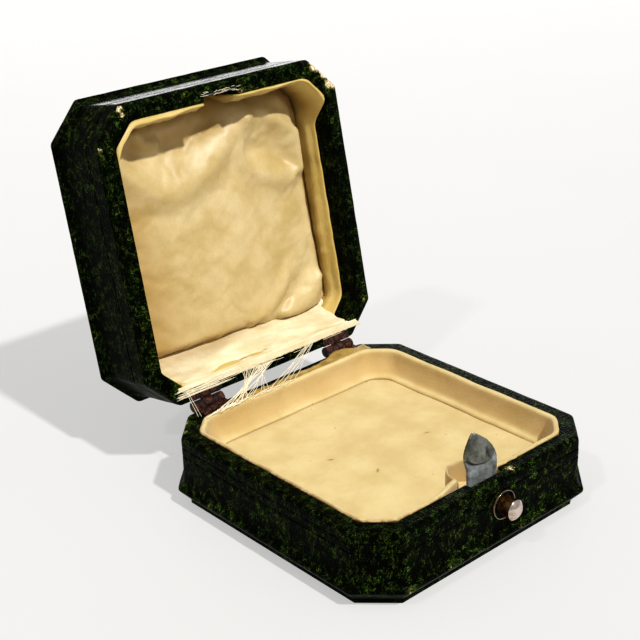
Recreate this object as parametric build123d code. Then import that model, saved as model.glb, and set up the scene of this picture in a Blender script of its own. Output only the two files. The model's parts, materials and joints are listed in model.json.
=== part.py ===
from build123d import *
import math
import os

# Small leather-covered ring box, standing open.  Millimetres, +Z up, the front is -Y.
# Origin: centre of the base's underside.  Lid parts are laid out closed, then turned open.

# ---------------------------------------------------------------- driving dimensions
HALF_WIDTH = 27.0          # outer wall, along X
HALF_DEPTH = 27.3          # outer wall, along Y
CORNER_CUT = 5.9           # leg of the cut corners, at the outer wall
BASE_HEIGHT = 13.5         # underside to rim
LID_HEIGHT = 17.3          # rim to outer face
RIM_GAP = 0.2              # between the two rims when closed
OPEN_ANGLE = 101.2         # how far the lid stands open

LEATHER = 0.45             # leather over the wood
RIM_WIDTH = 3.1            # outer wall to the lining
LINING = 0.6               # card and cloth of the lining walls
PANEL_THICKNESS = 0.65     # outer panel under the base and on the lid
PANEL_INSET = 0.95         # panel edge inside the outer wall
FLARE_OUT = 1.1            # moulded edge beyond the outer wall
FLARE_LOW = 2.95           # moulded edge, first height from the outer face
FLARE_HIGH = 3.5           # moulded edge, last height
COVE_TOP = 5.7             # where the cove meets the wall, and the board's inner face
RIM_ROUND = 0.9            # rounding of the rim's outer shoulder

FLOOR_CARD = 0.5           # card under the floor pad
FLOOR_PAD_TOP = 8.8        # top of the base's padded floor
LID_LINING_START = 4.6     # the lid's lining begins this far inside the rim
LID_TURN_IN = 0.3          # leather turned over the lid's inner wall
LID_PAD_CARD = 0.5
LID_PAD_SINK = 7.2         # crown of the satin pad, below the lid's rim

HINGE_Y = HALF_DEPTH + 1.0
HINGE_Z = BASE_HEIGHT + RIM_GAP / 2
HINGE_CENTRES = {"left": -15.7, "right": 16.5}
HINGE_WIDTH = 6.6
KNUCKLE_RADIUS = 1.0
KNUCKLE_GAP = 0.1
PIN_RADIUS = 0.35
PIN_CLEARANCE = 0.05
LEAF_THICKNESS = 0.45
LEAF_LENGTH = 2.6          # over the rim
HINGE_NAIL_SPREAD = 1.9    # each side of the hinge's middle

CATCH_X = -0.2             # middle of the catch tongue
TONGUE_WIDTH = 6.8
TONGUE_CHEEK = 0.25        # head beyond the plate's left edge
TONGUE_THICKNESS = 0.7
TONGUE_BOTTOM = 5.2
TONGUE_SHOULDER = 16.5     # underside of the nose
TONGUE_TIP = 21.9
TIP_OFFSET = 1.9           # the tip is left of the tongue's middle
NOSE_OUT = 0.65            # nose beyond the plate's front face
TONGUE_LEAN = 3.0          # degrees, towards the inside
SPRING_THICKNESS = 0.3
SPRING_WIDTH = 5.0
SPRING_FRONT = -25.25      # front face of the spring's foot
SPRING_FOOT = 1.3
SPRING_TOP = 7.1
FLEX_Z = 4.2               # height at which the spring bends
SLOT_WIDTH = 7.8
SLOT_FRONT = -25.45
KEEPER_FRONT = -25.45
KEEPER_THICKNESS = 0.25

BUTTON_X = 1.7
BUTTON_Z = 8.6
BUTTON_RADIUS = 1.7
BUTTON_FACE = -30.7        # crown of the button's cap
BUTTON_INNER = -26.6       # inner end of the barrel
STEM_RADIUS = 0.8
STEM_END = -24.78
FERRULE_RADIUS = 2.65
FERRULE_BORE = 2.1
FERRULE_DEPTH = 1.3

GUSSET_LENGTH = 39.0       # torn satin strip along the lid's hinge side
GUSSET_WIDTH = 3.3
GUSSET_THICKNESS = 0.3

INNER_Y = HALF_DEPTH - RIM_WIDTH
LID_RIM = BASE_HEIGHT + RIM_GAP
LID_TOP = LID_RIM + LID_HEIGHT
MITRE = 2 - math.sqrt(2)   # how much a cut corner's leg changes per unit of offset


# ---------------------------------------------------------------- helpers
def octagon(offset, z):
    """Face of the box's cut-corner square, moved outwards by offset, at height z."""
    hx = HALF_WIDTH + offset
    hy = HALF_DEPTH + offset
    cut = CORNER_CUT + MITRE * offset
    corners = [
        (hx, cut - hy), (hx, hy - cut), (hx - cut, hy), (cut - hx, hy),
        (-hx, hy - cut), (-hx, cut - hy), (cut - hx, -hy), (hx - cut, -hy),
    ]
    return Face(Wire.make_polygon([Vector(x, y, z) for x, y in corners], close=True))


def prism(offset, z_low, z_high):
    """Upright block on the octagon."""
    return Solid.extrude(octagon(offset, z_low), Vector(0, 0, z_high - z_low))


def stack(profile, offset, place):
    """Solid through octagons: profile is (offset, height) pairs, place maps heights to z."""
    outlines = [octagon(out + offset, place(height)).outer_wire() for out, height in profile]
    return Solid.make_loft(outlines, ruled=True)


def block(x_span, y_span, z_span):
    size = [high - low for low, high in (x_span, y_span, z_span)]
    middle = [(high + low) / 2 for low, high in (x_span, y_span, z_span)]
    return Pos(*middle) * Box(*size)


def rod(radius, start, end, axis):
    """Round rod along X, Y or Z, from start to end."""
    start, end = Vector(*start), Vector(*end)
    turn = {"x": (0, 90, 0), "y": (90, 0, 0), "z": (0, 0, 0)}[axis]
    middle = (start + end) / 2
    return Pos(middle.X, middle.Y, middle.Z) * Rot(*turn) * Cylinder(radius, (end - start).length)


def opened(part):
    """A lid part, turned from closed to where the lid stands."""
    return part.rotate(Axis((0, HINGE_Y, HINGE_Z), (-1, 0, 0)), OPEN_ANGLE)


def leaned(part):
    """A catch part, leaned from upright about the spring's bend."""
    return part.rotate(Axis((0, SPRING_FRONT, FLEX_Z), (-1, 0, 0)), TONGUE_LEAN)


def save(part, name):
    solids = part.solids()
    shape = solids[0] if len(solids) == 1 else Compound(children=list(solids))
    shape.label = name
    export_step(shape, f"parts/{name}.step")


# ---------------------------------------------------------------- the two trays
def edge_profile(height):
    """Outer profile of a half, from its outer face to its rim."""
    bevel = [(-PANEL_INSET, PANEL_THICKNESS), (FLARE_OUT, FLARE_LOW)]
    cove = []
    for step in range(4):
        turn = math.radians(30 * step)
        cove.append((FLARE_OUT * (1 - math.sin(turn)),
                     FLARE_HIGH + (COVE_TOP - FLARE_HIGH) * (1 - math.cos(turn))))
    shoulder = []
    for step in range(4):
        turn = math.radians(30 * step)
        shoulder.append((RIM_ROUND * (math.cos(turn) - 1),
                         height - RIM_ROUND * (1 - math.sin(turn))))
    return bevel + cove + shoulder


def core_profile(height):
    """The same profile for the wood under the leather, which is thinner at the rim."""
    profile = edge_profile(height)
    return profile[:-4] + [(0, height - RIM_ROUND), (-LEATHER, height - LEATHER)]


def half(height, place, inner_offset):
    """Leather skin, wood walls and moulded board of one half."""
    outer = stack(edge_profile(height), 0, place)
    core = stack(core_profile(height), -LEATHER, place)
    low, high = sorted((place(COVE_TOP), place(height + 1)))
    well = prism(inner_offset, low, high)
    low, high = sorted((place(0), place(COVE_TOP)))
    board = core & block((-40, 40), (-40, 40), (low, high))
    frame = core - board - well
    skin = outer - core - well
    return skin, frame, board


def hinge_mortises(z_span):
    """The recesses for the hinge leaves in a back rim."""
    cuts = []
    for centre in HINGE_CENTRES.values():
        x_span = (centre - HINGE_WIDTH / 2, centre + HINGE_WIDTH / 2)
        cuts.append(block(x_span, (HALF_DEPTH - LEAF_LENGTH, HALF_DEPTH + 2), z_span))
    return cuts


# ---------------------------------------------------------------- base
def make_base():
    skin, frame, board = half(BASE_HEIGHT, lambda height: height, -RIM_WIDTH)
    slot_x = (CATCH_X - SLOT_WIDTH / 2, CATCH_X + SLOT_WIDTH / 2)
    slot = block(slot_x, (SLOT_FRONT, -INNER_Y + 1), (COVE_TOP - 1, BASE_HEIGHT + 1))
    pocket = block(slot_x, (SPRING_FRONT, -INNER_Y + 1), (SPRING_FOOT, COVE_TOP + 1))
    pocket += block(slot_x, (SLOT_FRONT, -INNER_Y + 1), (3.6, COVE_TOP + 1))
    button_y = (-HALF_DEPTH - 1, SLOT_FRONT)
    stem_bore = rod(STEM_RADIUS + 0.1, (BUTTON_X, button_y[0], BUTTON_Z),
                    (BUTTON_X, button_y[1] + 0.5, BUTTON_Z), "y")
    cup = rod(FERRULE_BORE + 0.3, (BUTTON_X, button_y[0], BUTTON_Z),
              (BUTTON_X, FERRULE_DEPTH - HALF_DEPTH, BUTTON_Z), "y")
    skin -= slot + cup
    frame -= slot + stem_bore + cup
    board -= pocket
    for cut in hinge_mortises((BASE_HEIGHT + 0.05 - LEAF_THICKNESS, BASE_HEIGHT + 1)):
        skin -= cut
        frame -= cut
    panel = prism(-PANEL_INSET, 0, PANEL_THICKNESS)
    nails = base_hinge_nails()
    frame -= nails
    skin -= nails
    brads = catch_nails()
    board -= brads
    save(skin, "base_cover")
    save(frame, "base_frame")
    save(board, "base_board")
    save(panel, "base_panel")
    save(nails, "base_hinge_nails")
    save(brads, "catch_nails")


def make_base_lining():
    """Lining wall, open at the catch, and the padded floor on its card."""
    notch = block((CATCH_X - SLOT_WIDTH / 2, CATCH_X + SLOT_WIDTH / 2),
                  (-HALF_DEPTH, 0.9 - INNER_Y), (COVE_TOP - 1, BASE_HEIGHT + 1))
    wall_low = COVE_TOP + FLOOR_CARD
    wall = prism(-RIM_WIDTH, wall_low, BASE_HEIGHT - 0.05)
    wall -= prism(-RIM_WIDTH - LINING, wall_low - 1, BASE_HEIGHT + 1)
    card = prism(-RIM_WIDTH, COVE_TOP, wall_low)
    pad = prism(-RIM_WIDTH - LINING - 0.1, wall_low, FLOOR_PAD_TOP)
    save(wall - notch, "base_lining_wall")
    save(card - notch, "base_floor_card")
    save(pad - notch, "base_floor_pad")


# ---------------------------------------------------------------- hinges
def knuckle(centre, low, high, bore):
    start = (centre + low, HINGE_Y, HINGE_Z)
    end = (centre + high, HINGE_Y, HINGE_Z)
    tube = rod(KNUCKLE_RADIUS, start, end, "x")
    return tube - rod(bore, start, end, "x")


def leaf(centre, z_span, knuckles, bore):
    """Hinge leaf over the rim with its knuckles; knuckles are (low, high) spans along X."""
    half_width = HINGE_WIDTH / 2
    plate = block((centre - half_width, centre + half_width),
                  (HALF_DEPTH - LEAF_LENGTH, HALF_DEPTH - 0.15), z_span)
    for low, high in knuckles:
        plate += block((centre + low, centre + high), (HALF_DEPTH - 0.2, HINGE_Y), z_span)
        start = (centre + low, HINGE_Y, HINGE_Z)
        end = (centre + high, HINGE_Y, HINGE_Z)
        plate -= rod(KNUCKLE_RADIUS, start, end, "x")
        plate += knuckle(centre, low, high, bore)
    return plate


def nail_group(points, top, depth, up):
    """Flush-headed nails: head and shank as one solid each; up is +1 or -1."""
    nails = []
    for x, y in points:
        head = rod(0.55, (x, y, top), (x, y, top - up * 0.2), "z")
        shank = rod(0.28, (x, y, top), (x, y, top - up * depth), "z")
        nails.append(head + shank)
    return Compound(children=[solid for nail in nails for solid in nail.solids()])


def hinge_nail_points():
    y = HALF_DEPTH - LEAF_LENGTH / 2 - 0.2
    return [(centre + side * HINGE_NAIL_SPREAD, y)
            for centre in HINGE_CENTRES.values() for side in (-1, 1)]


def base_hinge_nails():
    return nail_group(hinge_nail_points(), BASE_HEIGHT + 0.03, 3.2, 1)


def lid_hinge_nails():
    return nail_group(hinge_nail_points(), LID_RIM - 0.03, 3.2, -1)


def make_hinges():
    """Two butt hinges: the base leaf holds the pin, the lid's knuckle turns on it."""
    side = HINGE_WIDTH / 2
    third = HINGE_WIDTH / 6
    base_z = (BASE_HEIGHT + 0.05 - LEAF_THICKNESS, BASE_HEIGHT + 0.05)
    lid_z = (LID_RIM - 0.05, LID_RIM - 0.05 + LEAF_THICKNESS)
    outer_knuckles = [(-side, -third - KNUCKLE_GAP), (third + KNUCKLE_GAP, side)]
    for name, centre in HINGE_CENTRES.items():
        base_leaf = leaf(centre, base_z, outer_knuckles, PIN_RADIUS) - base_hinge_nails()
        lid_leaf = leaf(centre, lid_z, [(-third, third)], PIN_RADIUS + PIN_CLEARANCE)
        lid_leaf -= lid_hinge_nails()
        pin = rod(PIN_RADIUS, (centre - side, HINGE_Y, HINGE_Z),
                  (centre + side, HINGE_Y, HINGE_Z), "x")
        save(base_leaf, f"hinge_{name}_base_leaf")
        save(opened(lid_leaf), f"hinge_{name}_lid_leaf")
        save(pin, f"hinge_{name}_pin")


# ---------------------------------------------------------------- lid
def make_lid():
    skin, frame, board = half(LID_HEIGHT, lambda height: LID_TOP - height,
                              LID_TURN_IN - RIM_WIDTH)
    turn_in_high = LID_RIM + LID_LINING_START
    turn_in = prism(LID_TURN_IN - RIM_WIDTH, LID_RIM, turn_in_high)
    turn_in -= prism(-RIM_WIDTH, LID_RIM - 1, turn_in_high + 1)
    skin += turn_in
    slot_x = (CATCH_X - SLOT_WIDTH / 2, CATCH_X + SLOT_WIDTH / 2)
    slot = block(slot_x, (KEEPER_FRONT, 1.5 - INNER_Y), (LID_RIM - 1, LID_RIM + 10))
    skin -= slot
    frame -= slot
    for cut in hinge_mortises((LID_RIM - 1, LID_RIM - 0.05 + LEAF_THICKNESS)):
        skin -= cut
        frame -= cut
    nails = lid_hinge_nails()
    skin -= nails
    frame -= nails
    panel = prism(-PANEL_INSET, LID_TOP - PANEL_THICKNESS, LID_TOP)
    keeper = block((slot_x[0] + 0.1, slot_x[1] - 0.1),
                   (KEEPER_FRONT, KEEPER_FRONT + KEEPER_THICKNESS),
                   (LID_RIM + 0.3, TONGUE_SHOULDER - 0.2))
    save(opened(skin), "lid_cover")
    save(opened(frame), "lid_frame")
    save(opened(board), "lid_board")
    save(opened(panel), "lid_panel")
    save(opened(nails), "lid_hinge_nails")
    save(opened(keeper), "keeper_plate")


def make_lid_lining():
    """Satin lining wall, pad card and the puffed satin pad with its domed face."""
    floor = LID_TOP - COVE_TOP
    start = LID_RIM + LID_LINING_START
    outer = LID_TURN_IN - RIM_WIDTH
    inner = outer - LINING
    notch = block((CATCH_X - SLOT_WIDTH / 2, CATCH_X + SLOT_WIDTH / 2),
                  (-HALF_DEPTH, 1.5 - INNER_Y), (LID_RIM - 1, LID_RIM + 10))
    card_low = floor - LID_PAD_CARD
    wall = prism(outer, start, card_low) - prism(inner, start - 1, floor + 1)
    card = prism(outer, card_low, floor)
    edge = card_low - 1.6
    crown = LID_RIM + LID_PAD_SINK
    profile = [(inner - 0.15, card_low), (inner - 0.15, edge),
               (inner - 2.2, edge - 0.45 * (edge - crown)), (inner - 7, crown)]
    pad = stack(profile, 0, lambda height: height)
    strip = block((-GUSSET_LENGTH / 2, GUSSET_LENGTH / 2), (INNER_Y - GUSSET_WIDTH, INNER_Y),
                  (LID_RIM + 0.1, LID_RIM + 0.1 + GUSSET_THICKNESS))
    save(opened(wall - notch), "lid_lining_wall")
    save(opened(card), "lid_pad_card")
    save(opened(pad), "lid_satin_pad")
    save(opened(strip), "gusset_strip")


# ---------------------------------------------------------------- catch and button
def tongue_head():
    """Pointed head: an arched outline seen from the front, a hooked one from the side."""
    plate_front = SPRING_FRONT + SPRING_THICKNESS
    plate_back = plate_front + TONGUE_THICKNESS
    left = CATCH_X - TONGUE_WIDTH / 2
    right = CATCH_X + TONGUE_WIDTH / 2
    low = TONGUE_SHOULDER - 0.3
    cheek = (left - TONGUE_CHEEK, TONGUE_SHOULDER + 1.7)
    corner = (right, TONGUE_SHOULDER + 0.4)
    tip = (CATCH_X - TIP_OFFSET, TONGUE_TIP)
    with BuildPart() as front_view:
        with BuildSketch(Plane.XZ.offset(-plate_back - 1)):
            with BuildLine():
                Polyline(cheek, (left, low), (right, low), corner)
                ThreePointArc(cheek, (left + 0.15, TONGUE_TIP - 1.6), tip)
                ThreePointArc(tip, (right - 2.2, TONGUE_TIP - 2.15), corner)
            make_face()
        extrude(amount=5)
    nose = plate_front - NOSE_OUT
    with BuildPart() as side_view:
        with BuildSketch(Plane.YZ.offset(CATCH_X - 6)):
            with BuildLine():
                Polyline((nose, TONGUE_SHOULDER + 0.3), (nose + 0.15, TONGUE_SHOULDER),
                         (plate_front, TONGUE_SHOULDER + 0.1),
                         (plate_front, TONGUE_SHOULDER - 0.3),
                         (plate_back, TONGUE_SHOULDER - 0.3), (plate_back, TONGUE_TIP - 2.5))
                ThreePointArc((nose, TONGUE_SHOULDER + 0.3), (nose + 0.2, TONGUE_TIP - 2.6),
                              (plate_back - 0.55, TONGUE_TIP))
                ThreePointArc((plate_back - 0.55, TONGUE_TIP), (plate_back - 0.1, TONGUE_TIP - 1),
                              (plate_back, TONGUE_TIP - 2.5))
            make_face()
        extrude(amount=12)
    return front_view.part & side_view.part


def tongue_rivets():
    """Two rivets that join the spring to the tongue."""
    z = (TONGUE_BOTTOM + SPRING_TOP) / 2
    front = SPRING_FRONT
    back = SPRING_FRONT + SPRING_THICKNESS + TONGUE_THICKNESS
    rivets = []
    for side in (-1, 1):
        x = CATCH_X + side * 1.3
        shape = rod(0.35, (x, front - 0.12, z), (x, back + 0.15, z), "y")
        shape += rod(0.6, (x, front - 0.12, z), (x, front, z), "y")
        shape += rod(0.6, (x, back, z), (x, back + 0.15, z), "y")
        rivets.append(shape)
    return rivets[0] + rivets[1]


def make_tongue():
    plate_front = SPRING_FRONT + SPRING_THICKNESS
    plate = block((CATCH_X - TONGUE_WIDTH / 2, CATCH_X + TONGUE_WIDTH / 2),
                  (plate_front, plate_front + TONGUE_THICKNESS),
                  (TONGUE_BOTTOM, TONGUE_SHOULDER))
    tongue = plate + tongue_head() - tongue_rivets()
    save(leaned(tongue), "catch_tongue")
    save(leaned(tongue_rivets()), "tongue_rivets")


def make_spring():
    """Leaf spring: its foot stands upright in the board, its upper part carries the tongue."""
    x_span = (CATCH_X - SPRING_WIDTH / 2, CATCH_X + SPRING_WIDTH / 2)
    y_span = (SPRING_FRONT, SPRING_FRONT + SPRING_THICKNESS)
    foot = block(x_span, y_span, (SPRING_FOOT, FLEX_Z))
    upper = leaned(block(x_span, y_span, (FLEX_Z, SPRING_TOP)))
    spring = foot + upper - leaned(tongue_rivets()) - catch_nails()
    clamp_y = (SPRING_FRONT + SPRING_THICKNESS, SPRING_FRONT + 2 * SPRING_THICKNESS)
    clamp = block(x_span, clamp_y, (SPRING_FOOT + 0.2, FLEX_Z - 0.8)) - catch_nails()
    save(spring, "catch_spring")
    save(clamp, "catch_clamp")


def catch_nails():
    """Two brads through the clamp and the spring's foot into the board."""
    z = (SPRING_FOOT + FLEX_Z) / 2 - 0.3
    clamp_back = SPRING_FRONT + 2 * SPRING_THICKNESS
    brads = []
    for side in (-1, 1):
        x = CATCH_X + side * 1.5
        brad = rod(0.25, (x, clamp_back - 2.2, z), (x, clamp_back, z), "y")
        brads.append(brad + rod(0.5, (x, clamp_back, z), (x, clamp_back + 0.25, z), "y"))
    return brads[0] + brads[1]


def make_button():
    """Button barrel with its bright cap, its stem and collar, and the ferrule round it."""
    cap_low = BUTTON_FACE + 0.9
    barrel = rod(BUTTON_RADIUS, (BUTTON_X, cap_low, BUTTON_Z),
                 (BUTTON_X, BUTTON_INNER, BUTTON_Z), "y")
    dome_radius = (BUTTON_RADIUS ** 2 + 0.7 ** 2) / (2 * 0.7)
    dome = Pos(BUTTON_X, BUTTON_FACE + dome_radius, BUTTON_Z) * Sphere(dome_radius)
    cap = rod(BUTTON_RADIUS + 0.1, (BUTTON_X, BUTTON_FACE - 1, BUTTON_Z),
              (BUTTON_X, cap_low, BUTTON_Z), "y") & dome
    stem = rod(STEM_RADIUS, (BUTTON_X, BUTTON_INNER, BUTTON_Z),
               (BUTTON_X, STEM_END, BUTTON_Z), "y")
    collar_y = (SLOT_FRONT + 0.05, SLOT_FRONT + 0.45)
    collar = rod(1.35, (BUTTON_X, collar_y[0], BUTTON_Z), (BUTTON_X, collar_y[1], BUTTON_Z), "y")
    save(barrel, "button_barrel")
    save(cap, "button_cap")
    save(stem, "button_stem")
    save(collar - stem, "button_collar")


def make_ferrule():
    """Eyelet round the button: a thin flange on the leather and a sleeve in the wall."""
    outer_face = -HALF_DEPTH - 0.35
    sleeve_end = FERRULE_DEPTH - HALF_DEPTH
    flange = rod(FERRULE_RADIUS, (BUTTON_X, outer_face, BUTTON_Z),
                 (BUTTON_X, -HALF_DEPTH, BUTTON_Z), "y")
    sleeve = rod(FERRULE_BORE + 0.3, (BUTTON_X, outer_face, BUTTON_Z),
                 (BUTTON_X, sleeve_end, BUTTON_Z), "y")
    bore = rod(FERRULE_BORE, (BUTTON_X, outer_face, BUTTON_Z),
               (BUTTON_X, sleeve_end, BUTTON_Z), "y")
    save(flange + sleeve - bore, "button_ferrule")


os.makedirs("parts", exist_ok=True)
make_base()
make_base_lining()
make_hinges()
make_lid()
make_lid_lining()
make_tongue()
make_spring()
make_button()
make_ferrule()
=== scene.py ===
import json
import math
import random

import bpy
from mathutils import Matrix, Vector, noise


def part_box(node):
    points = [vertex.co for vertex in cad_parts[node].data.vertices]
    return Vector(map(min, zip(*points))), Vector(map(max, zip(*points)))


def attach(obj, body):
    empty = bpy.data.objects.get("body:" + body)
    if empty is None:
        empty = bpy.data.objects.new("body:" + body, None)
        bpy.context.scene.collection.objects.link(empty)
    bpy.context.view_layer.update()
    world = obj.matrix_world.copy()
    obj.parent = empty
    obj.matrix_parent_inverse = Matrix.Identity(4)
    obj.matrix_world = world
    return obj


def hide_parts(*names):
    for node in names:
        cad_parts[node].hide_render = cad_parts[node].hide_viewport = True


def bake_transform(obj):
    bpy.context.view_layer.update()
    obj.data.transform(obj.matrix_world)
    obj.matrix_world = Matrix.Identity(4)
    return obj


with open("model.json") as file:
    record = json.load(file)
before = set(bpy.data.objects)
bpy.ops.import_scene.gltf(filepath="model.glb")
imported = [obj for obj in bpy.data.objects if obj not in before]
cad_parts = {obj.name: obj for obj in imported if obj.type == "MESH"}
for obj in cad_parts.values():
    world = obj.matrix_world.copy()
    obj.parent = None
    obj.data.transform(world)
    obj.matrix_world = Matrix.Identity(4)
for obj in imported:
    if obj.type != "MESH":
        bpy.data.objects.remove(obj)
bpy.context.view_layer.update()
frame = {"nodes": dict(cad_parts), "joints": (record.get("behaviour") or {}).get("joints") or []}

# Ring box, standing open.  Lengths here are millimetres; build() turns them into metres.
# Lid pieces are laid out closed, as the mirror of the base, then turned to where the lid stands.

MM = 0.001


def cad(node):
    """A CAD node's box in millimetres."""
    low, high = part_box(node)
    return low / MM, high / MM


# ---------------------------------------------------------------- sizes from the frame
PANEL_INSET = 0.95
HALF_WIDTH = cad("base_panel")[1].x + PANEL_INSET
HALF_DEPTH = cad("base_panel")[1].y + PANEL_INSET
RIM = cad("base_cover")[1].z
HINGE = next(j for j in frame["joints"] if j["name"] == "lid_hinge")
HINGE_Y = HINGE["pos_m"][1] / MM
HINGE_Z = HINGE["pos_m"][2] / MM
OPEN_ANGLE = math.radians(-HINGE["range_deg"][0])
RIM_GAP = 2 * (HINGE_Z - RIM)
LID_RIM = RIM + RIM_GAP
LID_HEIGHT = 17.3
LID_TOP = LID_RIM + LID_HEIGHT
FLOOR_TOP = cad("base_floor_pad")[1].z
TONGUE_X = (cad("catch_tongue")[0].x + cad("catch_tongue")[1].x) / 2
CORNER_CUT = 5.9
MITRE = 2 - math.sqrt(2)
RIM_WIDTH = 3.1
SLOT_HALF = 3.9
SLOT_DEPTH = 1.85          # how far the slot leaves of the front rim's width
LEATHER = 0.45
LINING_DEPTH = 4.6         # along the right wall the lid's lining begins this far inside the rim
SIDE_REACH = 17.6          # marks on a straight side run this far either way from its middle
SIDE_MARKS = 56
CLOSE_UP_FROM = 12         # past this, marks close up where the side is too short for them

OPEN = (Matrix.Translation((0, HINGE_Y, HINGE_Z))
        @ Matrix.Rotation(OPEN_ANGLE, 4, Vector(HINGE["axis"]))
        @ Matrix.Translation((0, -HINGE_Y, -HINGE_Z)))


# ---------------------------------------------------------------- small maths
def clamp(value, low, high):
    return max(low, min(high, value))


def smooth(low, high, value):
    t = clamp((value - low) / (high - low), 0, 1)
    return t * t * (3 - 2 * t)


def fuzz(point, size, seed=0.0):
    """Smooth noise from -1 to 1 with features of the given size."""
    return noise.noise(Vector(point) / size + Vector((seed, 2 * seed, -seed)))


def near_line(point, line):
    """Distance from a point to a polyline."""
    best = 1e9
    for start, end in zip(line, line[1:]):
        a, b = Vector(start), Vector(end)
        along = b - a
        t = clamp((Vector(point) - a).dot(along) / along.length_squared, 0, 1)
        best = min(best, (Vector(point) - a - along * t).length)
    return best


def bell(distance, width):
    return math.exp(-(distance / width) ** 2)


# ---------------------------------------------------------------- meshes
def build(name, verts, faces, material, body, place=None, values=None):
    """A smooth-shaded mesh piece that rides on a body; values are named numbers per vertex."""
    turned = [(place @ Vector(v) if place else Vector(v)) * MM for v in verts]
    mesh = bpy.data.meshes.new(name)
    mesh.from_pydata(turned, [], faces)
    mesh.polygons.foreach_set("use_smooth", [True] * len(mesh.polygons))
    for key, numbers in (values or {}).items():
        attribute = mesh.attributes.new(key, "FLOAT", "POINT")
        attribute.data.foreach_set("value", numbers)
    mesh.materials.append(material)
    mesh.update()
    piece = bpy.data.objects.new(name, mesh)
    bpy.context.scene.collection.objects.link(piece)
    if body:
        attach(piece, body)
    return piece


def quads(lower, upper, closed=True):
    """Faces between two rows of vertex numbers of the same length."""
    pairs = list(zip(lower, upper))
    ahead = pairs[1:] + (pairs[:1] if closed else [])
    return [(a, b, d, c) for (a, c), (b, d) in zip(pairs, ahead)]


def row_of(row, count):
    """Vertex numbers of one row of a grid."""
    return range(row * count, (row + 1) * count)


def squeezed(mark, limit):
    """Keep a mark on the straight: the outer marks close up so that the last is at the limit."""
    if abs(mark) <= CLOSE_UP_FROM:
        return mark
    share = (abs(mark) - CLOSE_UP_FROM) / (SIDE_REACH - CLOSE_UP_FROM)
    return math.copysign(CLOSE_UP_FROM + share * (limit - CLOSE_UP_FROM), mark)


def ring(offset, radius=1.0, stops=()):
    """Loop round the cut-corner square, moved outwards by offset; the same count every time."""
    hx, hy = HALF_WIDTH + offset, HALF_DEPTH + offset
    cut = CORNER_CUT + MITRE * offset
    corners = [Vector(c) for c in (
        (cut - hx, -hy), (hx - cut, -hy), (hx, cut - hy), (hx, hy - cut),
        (hx - cut, hy), (cut - hx, hy), (-hx, hy - cut), (-hx, cut - hy))]
    reach = 0.414 * radius
    points = []
    for index, corner in enumerate(corners):
        before, after = corners[index - 1], corners[(index + 1) % 8]
        enter = corner + (before - corner).normalized() * reach
        leave = corner + (after - corner).normalized() * reach
        for step in range(5):
            t = step / 4
            points.append((1 - t) ** 2 * enter + 2 * t * (1 - t) * corner + t * t * leave)
        far = after + (corner - after).normalized() * reach
        if index % 2 == 0:
            limit = min(SIDE_REACH, (after - corner).length / 2 - reach - 0.2)
            spacing = 2 * SIDE_REACH / (SIDE_MARKS - 1)
            marks = [squeezed(spacing * k - SIDE_REACH, limit) for k in range(SIDE_MARKS)]
            if index == 0:
                marks = sorted(marks + list(stops))
            middle, along = (corner + after) / 2, (after - corner).normalized()
            points += [middle + along * mark for mark in marks]
        else:
            points += [leave.lerp(far, (k + 1) / 11) for k in range(10)]
    return points


SLOT_STOPS = [TONGUE_X + side * (SLOT_HALF + nudge) for side in (-1, 1) for nudge in (-0.06, 0.06)]


def in_slot(point):
    return abs(point.x - TONGUE_X) < SLOT_HALF and point.y < -20


def sweep(rows, radius=1.0, shape=None):
    """Closed skin: rows of (offset, height, clamp limit) go round the ring and join up."""
    verts = []
    for offset, height, limit in rows:
        flat = ring(offset, radius, SLOT_STOPS)
        held = ring(max(offset, limit), radius, SLOT_STOPS)
        for free, stopped in zip(flat, held):
            xy = stopped if in_slot(free) else free
            point = Vector((xy.x, xy.y, height))
            verts.append(shape(point, offset, height) if shape else point)
    count, total = len(ring(0, radius, SLOT_STOPS)), len(rows)
    faces = []
    for row in range(total):
        faces += quads(row_of(row, count), row_of((row + 1) % total, count))
    return verts, faces


def tube(path, radius, sides=5):
    """Closed thread along a path of points, tapering at its ends."""
    verts, faces = [], []
    for index, point in enumerate(path):
        ahead = path[min(index + 1, len(path) - 1)] - path[max(index - 1, 0)]
        side = ahead.cross(Vector((0.31, 0.22, 0.92))).normalized()
        up = side.cross(ahead).normalized()
        width = radius * (0.35 if index in (0, len(path) - 1) else 1)
        for k in range(sides):
            turn = 2 * math.pi * k / sides
            verts.append(point + width * (math.cos(turn) * side + math.sin(turn) * up))
    for index in range(len(path) - 1):
        faces += quads(row_of(index, sides), row_of(index + 1, sides))
    faces.append(tuple(range(sides))[::-1])
    faces.append(tuple((len(path) - 1) * sides + k for k in range(sides)))
    return verts, faces


def bundle(parts):
    """Several (verts, faces) as one."""
    verts, faces = [], []
    for some_verts, some_faces in parts:
        start = len(verts)
        verts += some_verts
        faces += [tuple(start + k for k in face) for face in some_faces]
    return verts, faces


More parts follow.
